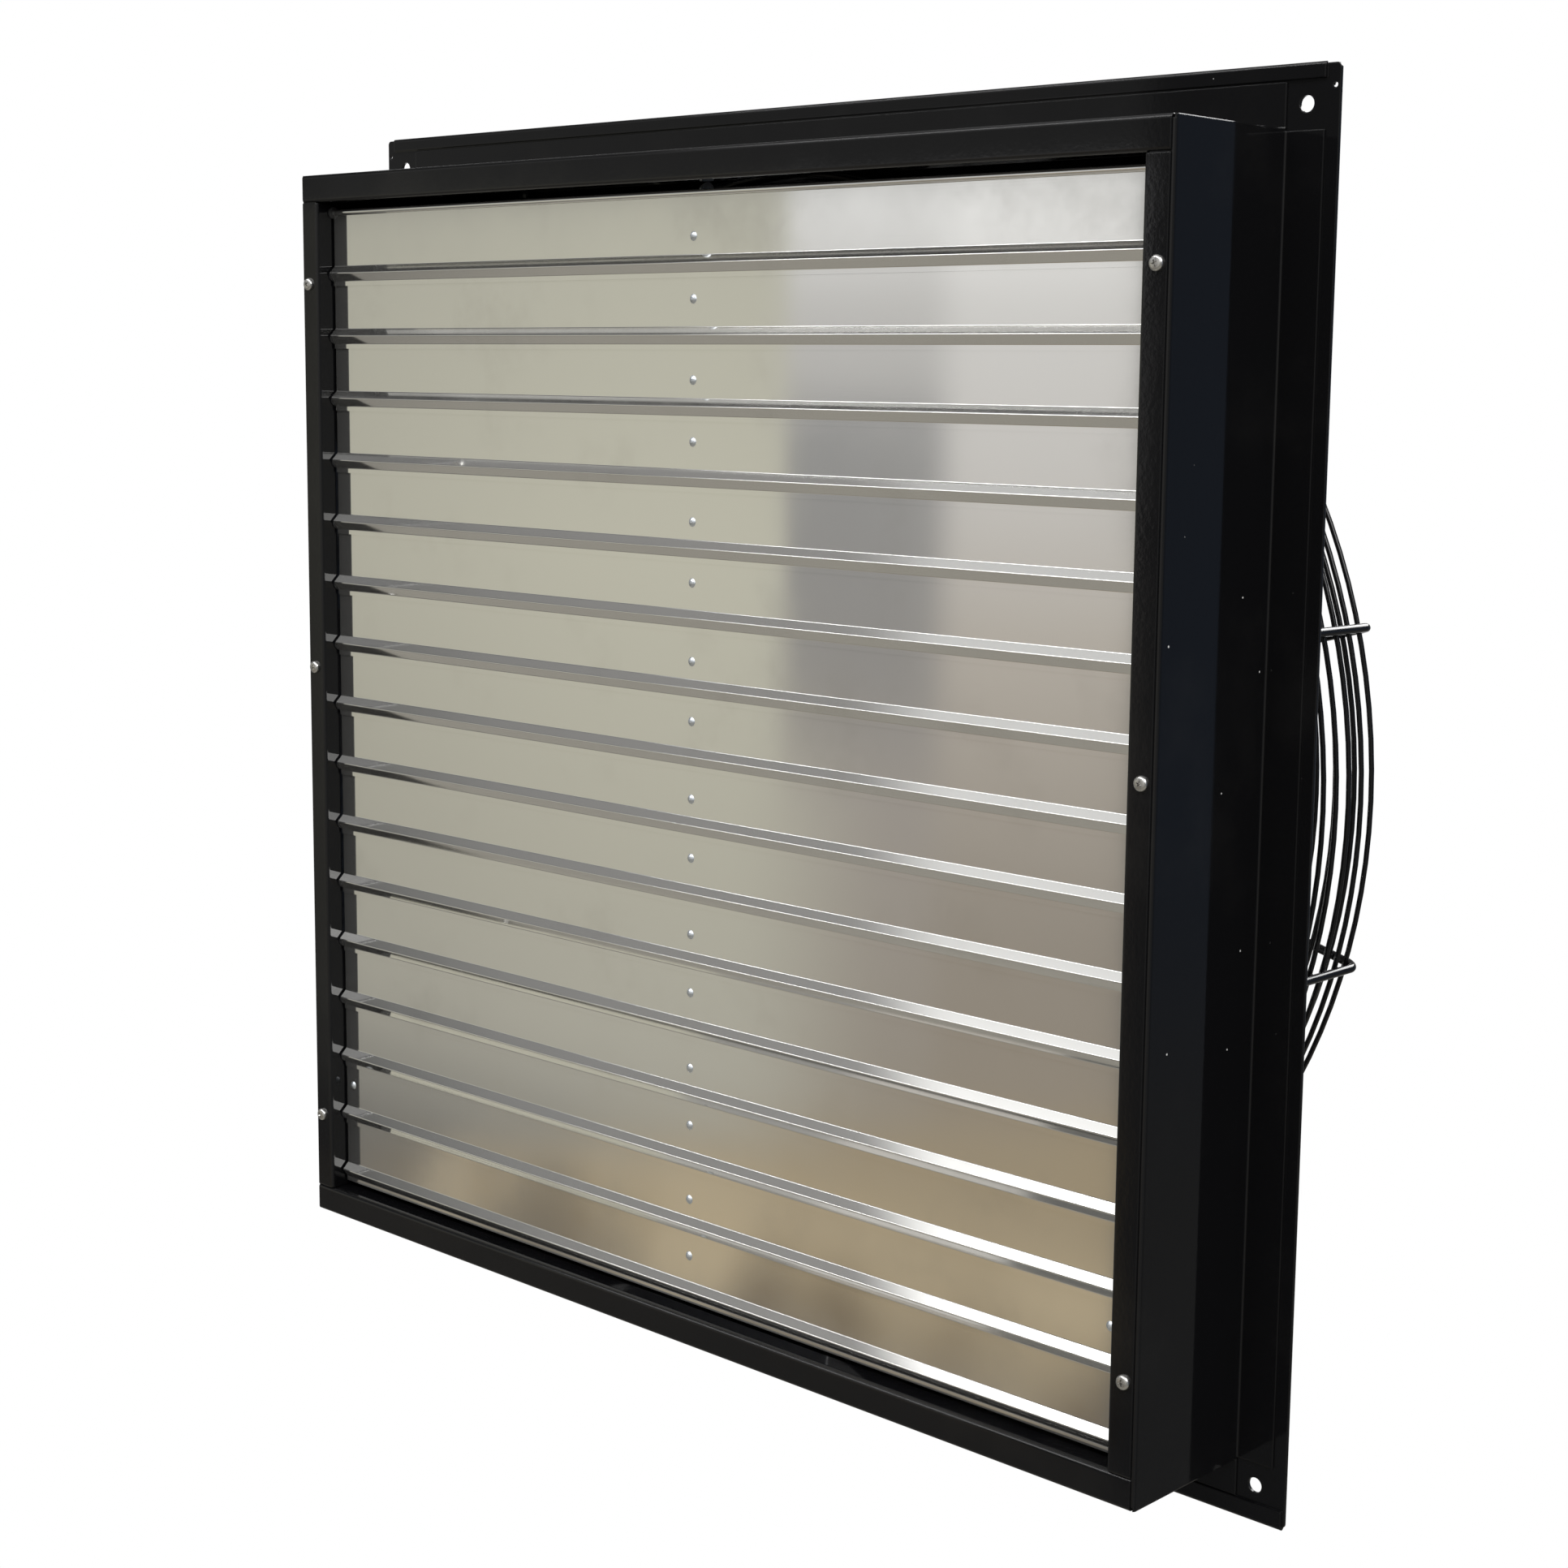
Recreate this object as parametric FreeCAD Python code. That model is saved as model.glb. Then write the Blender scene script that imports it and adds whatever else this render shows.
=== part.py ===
import FreeCAD, Part
import math
import os

# Shutter exhaust fan for a wall opening, in millimetres.
# X runs across the panel, +Y points into the room (the fan and guard side) and +Z is up.
# The origin is the centre of the four wall bolts, on the panel's front face.

# Fan wheel and air way
fan_diameter = 762.0
tip_gap = 8.0
blade_count = 5
blade_sheet = 2.0
blade_root_chord = 95.0
blade_tip_chord = 250.0
blade_root_pitch = 38.0
blade_tip_pitch = 19.0
blade_camber = 0.07
blade_sweep = 45.0
blade_first_angle = 36.0
blade_foot_sheet = 3.0
blade_foot_length = 92.0
blade_foot_width = 26.0
blade_rivets_per_foot = 3
blade_rivet_radius = 2.5
blade_rivet_head_radius = 4.5
blade_rivet_head = 2.5
blade_rivet_tail = 1.0
fan_plane = -5.0

# Venturi ring
venturi_sheet = 1.5
bell_radius = 22.25
throat_reach = 46.0
venturi_lip = 13.0

# Shutter box: four folded sheets
box_sheet = 1.2
bend_radius = 1.2
box_depth = 114.0
duct_margin = 6.8
box_flange = 27.5
bottom_flange = 25.0
rail_height = 21.0
rail_return = 18.0
side_lip = 18.0
side_strip = 2.5
seam = 0.05
flange_relief = 1.4

# Wall panel
panel_sheet = 2.0
panel_margin = 9.5
panel_corner = 3.0
top_hem = 8.5
bottom_hem = 11.5
hem_rise = 1.0
bottom_hem_inset = 1.5
bolt_inset = 23.0
bolt_hole_radius = 5.0
hang_hole_radius = 1.5
hang_hole_inset = 3.5
hang_hole_drop = 13.0

# Stiles that carry the louvre pivots
stile_depth = 34.0
stile_return = 12.4
stile_gap = 0.6
screw_radius = 2.5
screw_head_radius = 4.9
screw_head_height = 3.2
screw_length = 10.0
screw_inset = 9.5
screw_slot = 1.2
screw_slot_reach = 3.0
screw_slot_depth = 1.6
screw_heights = (336.0, 33.0, -338.0)

# Louvres
louvre_count = 16
louvre_sheet = 0.8
louvre_setback = 15.2
top_margin = 28.5
bottom_margin = 82.5
curl_bore = 1.6
lip_start = 7.2
lip_nose_rise = 1.8
lip_nose_reach = 5.2
lip_end_drop = 4.2
lip_end_reach = 1.1
lip_edge = 3.8
lip_bend = 0.4
pin_radius = 1.58
pin_insert = 25.0
pin_overhang = 7.0
bush_flange_radius = 4.5
bush_flange = 1.5
bush_barrel_radius = 3.0
bush_barrel = 3.0
bush_gap = 0.5
running_gap = 0.07
seat_gap = 0.02
shell_gap = 0.15

# Tie bar and its brackets
rivet_x = 10.5
rivet_radius = 2.0
rivet_head_radius = 3.3
rivet_head_height = 1.6
rivet_tail_radius = 3.0
rivet_tail = 1.2
rivet_drops = (28.7, 22.3)
end_rivet_louvre = 15
end_rivet_inset = 8.6
end_rivet_drop = 23.3
bracket_sheet = 1.2
bracket_width = 16.0
bracket_top_drop = 14.0
bracket_low_drop = 36.0
tie_back = 20.0
tie_rise = 4.0
tie_pin_radius = 2.0
tie_pin_head_radius = 3.5
tie_pin_head = 1.2
tie_lug_radius = 5.0
tie_bar_width = 8.0
tie_bar_sheet = 2.0
tie_bar_round = 3.6
tie_side_gap = 0.3

# Wire guard
ring_wire = 1.75
ring_sides = 8
spoke_wire = 3.0
spoke_count = 12
spoke_first_angle = 15.0
spoke_bend = 8.0
guard_depth = 117.0
guard_clearance = 7.0
face_ring_pitch = 14.4
side_ring_pitch = 15.0
side_ring_count = 6
weld_gap = 0.05
pad_length = 24.0
pad_width = 16.0
pad_sheet = 3.2
pad_round = 6.4
pad_hole_offset = 10.0
stud_radius = 3.0
stud_length = 11.0
nut_flats = 10.0
nut_height = 5.0

# External-rotor motor, hung from the middle of the guard
plate_radius = 95.0
plate_sheet = 4.0
spoke_seat = 29.0
cable_hole_radius = 16.0
motor_bolt_circle = 65.0
motor_bolt_radius = 4.0
motor_bolt_flats = 13.0
motor_bolt_head = 5.3
motor_bolt_reach = 10.0
base_radius = 77.0
base_thickness = 12.0
base_tube_radius = 24.0
bearing_radius = 20.0
bearing_width = 12.0
shaft_radius = 8.5
bearing_gap = 0.05
can_radius = 85.0
can_wall = 4.0
can_gap = 3.5
can_front = -25.0
can_corner = 10.0
boss_radius = 15.0
boss_reach = 20.0
vent_count = 6
vent_radius = 8.0
vent_circle = 52.0
stack_start = 24.0
stack_length = 50.0
stack_radius = 58.0
air_gap = 0.6
winding_reach = 9.0
winding_inner = 30.0
winding_outer = 53.0

# Terminal box
terminal_half = 42.0
terminal_depth = 36.0
terminal_wall = 2.5
terminal_corner = 6.0
lid_thickness = 4.0
lid_round = 1.6
gland_hole_radius = 8.0
gland_flats = 24.0
gland_nut = 6.0
gland_reach = 16.0
gland_bore = 5.0
gland_nose_radius = 10.0

origin = FreeCAD.Vector(0, 0, 0)
axis_x = FreeCAD.Vector(1, 0, 0)
axis_y = FreeCAD.Vector(0, 1, 0)
axis_z = FreeCAD.Vector(0, 0, 1)

# Sizes that follow from the ones above
throat_radius = fan_diameter / 2 + tip_gap
orifice_radius = throat_radius + venturi_sheet / 2 + bell_radius
box_half = orifice_radius + duct_margin + box_sheet
panel_half = box_half + box_flange + panel_margin
front = -box_depth
stile_outer = box_half - side_strip
stile_inner = box_half - rail_height
stile_half = box_half - rail_height - stile_gap
bolt_place = panel_half - bolt_inset
louvre_half = stile_inner - bush_flange - bush_gap
louvre_pitch = (2 * box_half - top_margin - bottom_margin) / (louvre_count - 1)
louvre_y = front + louvre_setback
curl_radius = curl_bore + louvre_sheet
tie_y = louvre_y + tie_back
ear_x = rivet_x - bracket_width / 2
bar_x = ear_x - tie_side_gap - tie_bar_sheet
guard_radius = orifice_radius + venturi_lip + guard_clearance
spoke_radius = guard_radius + ring_wire + spoke_wire + weld_gap
face_y = guard_depth - spoke_wire - ring_wire - weld_gap
corner_shift = (spoke_bend - spoke_wire - ring_wire - weld_gap) / math.sqrt(2)
plate_back = guard_depth - spoke_wire - weld_gap
plate_front = plate_back - plate_sheet
base_front = plate_front - base_thickness
can_back = base_front - can_gap
stack_end = stack_start + stack_length
foot_radius = can_radius + blade_foot_sheet


def louvre_z(index):
    return box_half - top_margin - louvre_pitch * index


def in_yz(y, z):
    return FreeCAD.Vector(0, y, z)


def in_xy(x, y):
    return FreeCAD.Vector(x, y, 0)


def block(x0, x1, y0, y1, z0, z1):
    return Part.makeBox(x1 - x0, y1 - y0, z1 - z0, FreeCAD.Vector(x0, y0, z0))


def rod(radius, start, end):
    return Part.makeCylinder(radius, (end - start).Length, start, end - start)


def y_rod(radius, x, z, y0, y1):
    return rod(radius, FreeCAD.Vector(x, y0, z), FreeCAD.Vector(x, y1, z))


def x_rod(radius, y, z, x0, x1):
    return rod(radius, FreeCAD.Vector(x0, y, z), FreeCAD.Vector(x1, y, z))


def y_ring(outer, inner, y0, y1):
    return y_rod(outer, 0, 0, y0, y1).cut(y_rod(inner, 0, 0, y0 - 1, y1 + 1))


def hex_prism(flats, x, z, y0, y1):
    corner = flats / math.sqrt(3)
    turns = [math.radians(60 * k) for k in range(7)]
    points = [FreeCAD.Vector(x + corner * math.cos(t), y0, z + corner * math.sin(t)) for t in turns]
    return Part.Face(Part.makePolygon(points)).extrude(FreeCAD.Vector(0, y1 - y0, 0))


def revolved(points):
    outline = [in_xy(x, y) for x, y in points]
    return Part.Face(Part.makePolygon(outline + outline[:1])).revolve(origin, axis_y, 360)


def around_y(shape, degrees):
    turned = shape.copy()
    turned.rotate(origin, axis_y, degrees)
    return turned


def mirrored_x(shape):
    return shape.mirror(origin, axis_x)


def side_path(points, offset, radius):
    # One side of a folded sheet: straight runs joined by arcs, at a distance from its middle line.
    runs = [(points[k + 1] - points[k]).normalize() for k in range(len(points) - 1)]
    lefts = [FreeCAD.Vector(-run.y, run.x, 0) for run in runs]
    edges = []
    last = points[0] + lefts[0] * offset
    for k in range(1, len(points) - 1):
        turn = runs[k - 1].x * runs[k].y - runs[k - 1].y * runs[k].x
        way = 1 if turn > 0 else -1
        setback = radius * math.tan(runs[k - 1].getAngle(runs[k]) / 2)
        start = points[k] - runs[k - 1] * setback
        centre = start + lefts[k - 1] * (radius * way)
        to_middle = (points[k] - centre).normalize()
        arc_start = start + lefts[k - 1] * offset
        arc_end = points[k] + runs[k] * setback + lefts[k] * offset
        arc_middle = centre + to_middle * (radius - way * offset)
        edges.append(Part.LineSegment(last, arc_start))
        edges.append(Part.Arc(arc_start, arc_middle, arc_end))
        last = arc_end
    end = points[-1] + lefts[-1] * offset
    edges.append(Part.LineSegment(last, end))
    return edges, points[0] + lefts[0] * offset, end


def folded(points, sheet, inner_radius):
    # The section of a sheet folded along a line of points, as a face in the XY plane.
    line = [in_xy(x, y) for x, y in points]
    radius = inner_radius + sheet / 2
    left, left_start, left_end = side_path(line, sheet / 2, radius)
    right, right_start, right_end = side_path(line, -sheet / 2, radius)
    caps = [Part.LineSegment(left_end, right_end), Part.LineSegment(right_start, left_start)]
    edges = [curve.toShape() for curve in left + right + caps]
    return Part.Face(Part.Wire(Part.__sortEdges__(edges)))


def folded_along_x(points, sheet, inner_radius, half_length):
    # The section's points are (y, z), and the sheet runs across the panel.
    face = folded(points, sheet, inner_radius)
    face.rotate(origin, axis_z, 90)
    face.rotate(origin, axis_y, 90)
    face = face.mirror(origin, axis_x)
    face.translate(FreeCAD.Vector(-half_length, 0, 0))
    return face.extrude(FreeCAD.Vector(2 * half_length, 0, 0))


def folded_along_z(points, sheet, inner_radius, half_length):
    # The section's points are (x, y), and the sheet stands upright.
    face = folded(points, sheet, inner_radius)
    face.translate(FreeCAD.Vector(0, 0, -half_length))
    return face.extrude(FreeCAD.Vector(0, 0, 2 * half_length))


def dome(radius, height):
    # A round cap on the XZ plane that rises to height along +Y.
    crown = (radius * radius + height * height) / (2 * height)
    rim = FreeCAD.Vector(radius, 0, 0)
    top = FreeCAD.Vector(0, height, 0)
    half_turn = math.asin(radius / crown) / 2
    middle = FreeCAD.Vector(crown * math.sin(half_turn), height - crown * (1 - math.cos(half_turn)), 0)
    edges = [
        Part.LineSegment(origin, rim).toShape(),
        Part.Arc(rim, middle, top).toShape(),
        Part.LineSegment(top, origin).toShape(),
    ]
    return Part.Face(Part.Wire(edges)).revolve(origin, axis_y, 360)


def wall_panel():
    plate = block(-panel_half, panel_half, 0, panel_sheet, -panel_half, panel_half)
    upright = [e for e in plate.Edges if abs(e.tangentAt(e.FirstParameter).y) > 0.9]
    plate = plate.makeFillet(panel_corner, upright)
    hem_half = panel_half - panel_margin
    plate = plate.fuse(hem(hem_half, panel_half - top_hem, panel_half + hem_rise - panel_sheet, 1))
    low_half = panel_half - bottom_hem_inset
    plate = plate.fuse(hem(low_half, panel_half - bottom_hem, panel_half + hem_rise - panel_sheet, -1))
    plate = plate.cut(y_rod(orifice_radius, 0, 0, -1, panel_sheet + 1))
    for sx in (-1, 1):
        hang_x = sx * (panel_half - hang_hole_inset)
        plate = plate.cut(y_rod(hang_hole_radius, hang_x, panel_half - hang_hole_drop, -1, panel_sheet + 1))
        for sz in (-1, 1):
            plate = plate.cut(y_rod(bolt_hole_radius, sx * bolt_place, sz * bolt_place, -1, panel_sheet + 1))
    return plate.removeSplitter()


def hem(half_length, z_inner, z_fold, side):
    # A folded edge: a strip in front of the panel and the round of the fold along its outer edge.
    low, high = sorted((side * z_inner, side * z_fold))
    strip = block(-half_length, half_length, -panel_sheet, 0, low, high)
    fold_round = x_rod(panel_sheet, 0, side * z_fold, -half_length, half_length)
    return strip.fuse(fold_round)


def venturi_ring():
    seat = panel_sheet + venturi_sheet / 2
    throat = throat_radius + venturi_sheet / 2
    points = [(orifice_radius + venturi_lip, seat), (throat, seat), (throat, -throat_reach)]
    return folded(points, venturi_sheet, bell_radius - venturi_sheet / 2).revolve(origin, axis_y, 360)


def level_sheet(flange):
    rail_y = front + box_sheet / 2
    rail_low = box_half - rail_height
    return_z = rail_low + box_sheet / 2
    web_z = box_half - box_sheet / 2
    flange_y = -box_sheet / 2
    points = [
        (front + rail_return, return_z),
        (rail_y, return_z),
        (rail_y, web_z),
        (flange_y, web_z),
        (flange_y, box_half + flange),
    ]
    sheet = folded_along_x(points, box_sheet, bend_radius, box_half)
    rail_back = front + 2 * box_sheet + bend_radius
    web_end = box_half - box_sheet - seam
    for sx in (-1, 1):
        ends = (
            (stile_outer, front - 1, rail_back),
            (web_end, rail_back - 1, -box_sheet - bend_radius),
        )
        for end, y0, y1 in ends:
            x0, x1 = sorted((sx * end, sx * (box_half + 1)))
            sheet = sheet.cut(block(x0, x1, y0, y1, rail_low - 1, box_half + 1))
        # The rail's return stops short of the side lip.
        x0, x1 = sorted((sx * (box_half - side_lip - seam), sx * (box_half + 1)))
        return_top = rail_low + box_sheet + bend_radius
        sheet = sheet.cut(block(x0, x1, front + box_sheet, front + rail_return + 1, rail_low - 1, return_top))
        x0, x1 = sorted((sx * web_end, sx * (box_half + 1)))
        sheet = sheet.cut(block(x0, x1, -2 * box_sheet - bend_radius, 1, box_half - 2 * box_sheet, box_half))
    return sheet


def box_right():
    lip_y = front + 1.5 * box_sheet + seam
    web_x = box_half - box_sheet / 2
    flange_y = -box_sheet / 2
    points = [
        (box_half - side_lip, lip_y),
        (web_x, lip_y),
        (web_x, flange_y),
        (box_half + box_flange, flange_y),
    ]
    sheet = folded_along_z(points, box_sheet, bend_radius, box_half)
    lip_end = box_half - box_sheet - bend_radius - seam
    for sz in (-1, 1):
        z0, z1 = sorted((sz * lip_end, sz * (box_half + 1)))
        sheet = sheet.cut(block(0, box_half - box_sheet, front, 1, z0, z1))
        z0, z1 = sorted((sz * (box_half - flange_relief), sz * (box_half + 1)))
        sheet = sheet.cut(block(box_half, box_half + box_flange + 1, -box_depth, 1, z0, z1))
    return screw_holes(sheet)


def screw_place():
    return stile_inner + rail_height - screw_inset


def screw_holes(sheet):
    hole_end = front + stile_depth / 2
    for z in screw_heights:
        sheet = sheet.cut(y_rod(screw_radius + seat_gap, screw_place(), z, front - 1, hole_end))
    return sheet


def stile_right():
    face_mid = front + box_sheet / 2
    wall_x = stile_inner + box_sheet / 2
    back_mid = front + stile_depth - box_sheet / 2
    points = [
        (stile_outer, face_mid),
        (wall_x, face_mid),
        (wall_x, back_mid),
        (stile_inner + stile_return, back_mid),
    ]
    stile = screw_holes(folded_along_z(points, box_sheet, bend_radius, stile_half))
    holes = []
    for k in range(louvre_count):
        x_end = stile_inner + 2 * box_sheet
        holes.append(x_rod(bush_barrel_radius + seat_gap, louvre_y, louvre_z(k), stile_inner - 1, x_end))
    return stile.cut(Part.makeCompound(holes))


def stile_screw(x, z):
    head = dome(screw_head_radius, screw_head_height)
    head.rotate(origin, axis_x, 180)
    for dx, dz in ((screw_slot_reach, screw_slot / 2), (screw_slot / 2, screw_slot_reach)):
        low = -screw_head_height - 1
        head = head.cut(block(-dx, dx, low, screw_slot_depth - screw_head_height, -dz, dz))
    head.translate(FreeCAD.Vector(x, front, z))
    return head.fuse(y_rod(screw_radius, x, z, front, front + screw_length))


def stile_screws():
    places = [(sx * screw_place(), z) for sx in (-1, 1) for z in screw_heights]
    return Part.makeCompound([stile_screw(x, z) for x, z in places])


def pivot_bush(z):
    flange_end = stile_inner - bush_flange
    bush = x_rod(bush_flange_radius, louvre_y, z, flange_end, stile_inner)
    bush = bush.fuse(x_rod(bush_barrel_radius, louvre_y, z, stile_inner, stile_inner + bush_barrel))
    bore = x_rod(pin_radius + running_gap, louvre_y, z, flange_end - 1, stile_inner + bush_barrel + 1)
    return bush.cut(bore).removeSplitter()


def pivot_bushes():
    right = [pivot_bush(louvre_z(k)) for k in range(louvre_count)]
    return Part.makeCompound(right + [mirrored_x(bush) for bush in right])


def rivet_places(index):
    # (x, drop below the hinge axis) of each rivet in a louvre.
    places = [(rivet_x, rivet_drops[index % 2])]
    if index + 1 == end_rivet_louvre:
        end_x = louvre_half - end_rivet_inset
        places += [(-end_x, end_rivet_drop), (end_x, end_rivet_drop)]
    return places


def louvre(index):
    # A rolled top edge, a flat blade and a nosed lip whose upright edge laps over the next louvre's roll.
    z = louvre_z(index)
    points = [
        (0, -curl_bore - louvre_sheet / 2),
        (0, lip_start - louvre_pitch),
        (-lip_nose_reach, lip_nose_rise - louvre_pitch),
        (-lip_end_reach, -lip_end_drop - louvre_pitch),
        (-lip_end_reach, -lip_end_drop - lip_edge - louvre_pitch),
    ]
    placed = [(louvre_y + y, z + dz) for y, dz in points]
    blade = folded_along_x(placed, louvre_sheet, lip_bend, louvre_half)
    blade = blade.fuse(x_rod(curl_radius, louvre_y, z, -louvre_half, louvre_half))
    blade = blade.cut(x_rod(curl_bore, louvre_y, z, -louvre_half - 1, louvre_half + 1))
    for x, drop in rivet_places(index):
        blade = blade.cut(y_rod(rivet_radius + seat_gap, x, z - drop, louvre_y - 2, louvre_y + 2))
    return blade.removeSplitter()


def rivet(x, z, grip):
    # Domed head on the blade's front, shank through the grip and a flat tail behind.
    face_y = louvre_y - louvre_sheet / 2
    head = dome(rivet_head_radius, rivet_head_height)
    head.rotate(origin, axis_x, 180)
    head.translate(FreeCAD.Vector(x, face_y, z))
    shank = y_rod(rivet_radius, x, z, face_y, face_y + grip)
    tail = y_rod(rivet_tail_radius, x, z, face_y + grip, face_y + grip + rivet_tail)
    return head.fuse([shank, tail]).removeSplitter()


def tie_bracket(z, drop):
    # An angle behind the blade: a riveted foot and an ear that reaches back to the tie bar's pin.
    back = louvre_y + louvre_sheet / 2
    foot_low = z - bracket_low_drop
    foot_high = z - bracket_top_drop
    foot = block(ear_x, ear_x + bracket_width, back, back + bracket_sheet, foot_low, foot_high)
    foot = foot.cut(y_rod(rivet_radius + seat_gap, rivet_x, z - drop, back - 1, back + bracket_sheet + 1))
    pin = in_yz(tie_y, z + tie_rise)
    along = (pin - in_yz(back, (foot_low + foot_high) / 2)).normalize()
    across = in_yz(-along.z, along.y) * tie_lug_radius
    outline = [in_yz(back, foot_low), in_yz(back, foot_high), pin + across, pin - across]
    ear = Part.Face(Part.makePolygon(outline + outline[:1])).extrude(axis_x * bracket_sheet)
    ear.translate(axis_x * ear_x)
    lug = x_rod(tie_lug_radius, tie_y, z + tie_rise, ear_x, ear_x + bracket_sheet)
    bracket = foot.fuse([ear, lug])
    hole = x_rod(tie_pin_radius + seat_gap, tie_y, z + tie_rise, ear_x - 1, ear_x + bracket_sheet + 1)
    return bracket.cut(hole).removeSplitter()


def tie_pin(z):
    head_start = bar_x - tie_side_gap - tie_pin_head
    shank = x_rod(tie_pin_radius, tie_y, z + tie_rise, head_start, ear_x + bracket_sheet)
    head = x_rod(tie_pin_head_radius, tie_y, z + tie_rise, head_start, bar_x - tie_side_gap)
    return shank.fuse(head).removeSplitter()


def louvre_fittings(index):
    z = louvre_z(index)
    pin = x_rod(pin_radius, louvre_y, z, louvre_half - pin_insert, louvre_half + pin_overhang)
    solids = [pin, mirrored_x(pin), tie_bracket(z, rivet_drops[index % 2]), tie_pin(z)]
    for x, drop in rivet_places(index):
        grip = louvre_sheet + (bracket_sheet if x == rivet_x else 0)
        solids.append(rivet(x, z - drop, grip))
    return Part.makeCompound(solids)


def tie_bar():
    top = louvre_z(0) + tie_rise
    low = louvre_z(louvre_count - 1) + tie_rise
    half = tie_bar_width / 2
    bar = block(bar_x, bar_x + tie_bar_sheet, tie_y - half, tie_y + half, low - half, top + half)
    lengthwise = [e for e in bar.Edges if abs(e.tangentAt(e.FirstParameter).x) > 0.9]
    bar = bar.makeFillet(tie_bar_round, lengthwise)
    holes = []
    for k in range(louvre_count):
        z = louvre_z(k) + tie_rise
        holes.append(x_rod(tie_pin_radius + running_gap, tie_y, z, bar_x - 1, bar_x + tie_bar_sheet + 1))
    return bar.cut(Part.makeCompound(holes))


def guard_ring(radius, y):
    # One hoop of wire. Its section is an octagon, so that the many hoops stay light.
    turns = [math.pi * (2 * k + 1) / ring_sides for k in range(ring_sides)]
    return revolved([(radius + ring_wire * math.cos(t), y + ring_wire * math.sin(t)) for t in turns])


def guard_face_rings():
    # The outermost hoop lies in the bends of the spokes, and the others lie on their radial arms.
    corner = guard_ring(spoke_radius - spoke_bend + corner_shift, guard_depth - spoke_bend + corner_shift)
    room = guard_radius - plate_radius - 2 * ring_wire
    radii = [guard_radius - (k + 1) * face_ring_pitch for k in range(int(room / face_ring_pitch))]
    return Part.makeCompound([corner] + [guard_ring(radius, face_y) for radius in radii])


def guard_side_rings():
    heights = [face_y - (k + 1) * side_ring_pitch for k in range(side_ring_count)]
    return Part.makeCompound([guard_ring(guard_radius, y) for y in heights])


def guard_spoke():
    # A foot arm square to the panel, a bend and a radial arm to the motor plate, with a flattened foot.
    foot = in_xy(spoke_radius, panel_sheet)
    arc_start = in_xy(spoke_radius, guard_depth - spoke_bend)
    arc_end = in_xy(spoke_radius - spoke_bend, guard_depth)
    lean = spoke_bend * (1 - math.sqrt(0.5))
    arc_middle = in_xy(spoke_radius - lean, guard_depth - lean)
    inner = in_xy(plate_radius - spoke_seat, guard_depth)
    path = Part.Wire([
        Part.LineSegment(foot, arc_start).toShape(),
        Part.Arc(arc_start, arc_middle, arc_end).toShape(),
        Part.LineSegment(arc_end, inner).toShape(),
    ])
    profile = Part.Wire([Part.makeCircle(spoke_wire, foot, axis_y)])
    wire = path.makePipeShell([profile], True, False)
    pad_start = spoke_radius - spoke_wire
    pad_top = panel_sheet + pad_sheet
    pad = block(pad_start, pad_start + pad_length, panel_sheet, pad_top, -pad_width / 2, pad_width / 2)
    upright = [e for e in pad.Edges if abs(e.tangentAt(e.FirstParameter).y) > 0.9]
    pad = pad.makeFillet(pad_round, [e for e in upright if e.CenterOfMass.x > spoke_radius])
    pad = pad.cut(y_rod(stud_radius + seat_gap, spoke_radius + pad_hole_offset, 0, 0, pad_top + 1))
    return wire.fuse(pad).removeSplitter()


def spoke_angles():
    return [spoke_first_angle + 360.0 / spoke_count * k for k in range(spoke_count)]


def guard_spokes():
    spoke = guard_spoke()
    return Part.makeCompound([around_y(spoke, angle) for angle in spoke_angles()])


def guard_fasteners():
    # A weld stud on the panel and a hexagon nut for each spoke foot.
    place = spoke_radius + pad_hole_offset
    seat = panel_sheet + pad_sheet
    stud = y_rod(stud_radius, place, 0, panel_sheet, panel_sheet + stud_length)
    nut = hex_prism(nut_flats, place, 0, seat, seat + nut_height)
    nut = nut.cut(y_rod(stud_radius + seat_gap, place, 0, seat - 1, seat + nut_height + 1))
    return Part.makeCompound([around_y(piece, angle) for angle in spoke_angles() for piece in (stud, nut)])


def bolt_places():
    turns = [math.radians(90 * k) for k in range(4)]
    return [(motor_bolt_circle * math.cos(t), motor_bolt_circle * math.sin(t)) for t in turns]


def motor_plate():
    plate = y_ring(plate_radius, cable_hole_radius, plate_front, plate_back)
    for x, z in bolt_places():
        plate = plate.cut(y_rod(motor_bolt_radius + seat_gap, x, z, plate_front - 1, plate_back + 1))
    return plate


def motor_base():
    # A flange bolted to the plate, with the hollow tube that carries the stator and both bearings.
    tube_end = stack_start - winding_reach
    base = revolved([
        (bearing_radius, plate_front),
        (base_radius, plate_front),
        (base_radius, base_front),
        (base_tube_radius, base_front),
        (base_tube_radius, tube_end),
        (bearing_radius, tube_end),
    ])
    for x, z in bolt_places():
        hole_end = plate_front - motor_bolt_reach
        base = base.cut(y_rod(motor_bolt_radius + seat_gap, x, z, hole_end, plate_front + 1))
    return base


def motor_bolts():
    bolts = []
    for x, z in bolt_places():
        head = hex_prism(motor_bolt_flats, x, z, plate_back, plate_back + motor_bolt_head)
        bolts.append(head.fuse(y_rod(motor_bolt_radius, x, z, plate_front - motor_bolt_reach, plate_back)))
    return Part.makeCompound(bolts)


def stator_core():
    # The lamination stack with the end turns of its winding on both sides.
    bore = base_tube_radius + shell_gap
    return revolved([
        (bore, stack_start),
        (winding_inner, stack_start),
        (winding_inner, stack_start - winding_reach),
        (winding_outer, stack_start - winding_reach),
        (winding_outer, stack_start),
        (stack_radius, stack_start),
        (stack_radius, stack_end),
        (winding_outer, stack_end),
        (winding_outer, stack_end + winding_reach),
        (winding_inner, stack_end + winding_reach),
        (winding_inner, stack_end),
        (bore, stack_end),
    ])


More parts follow.
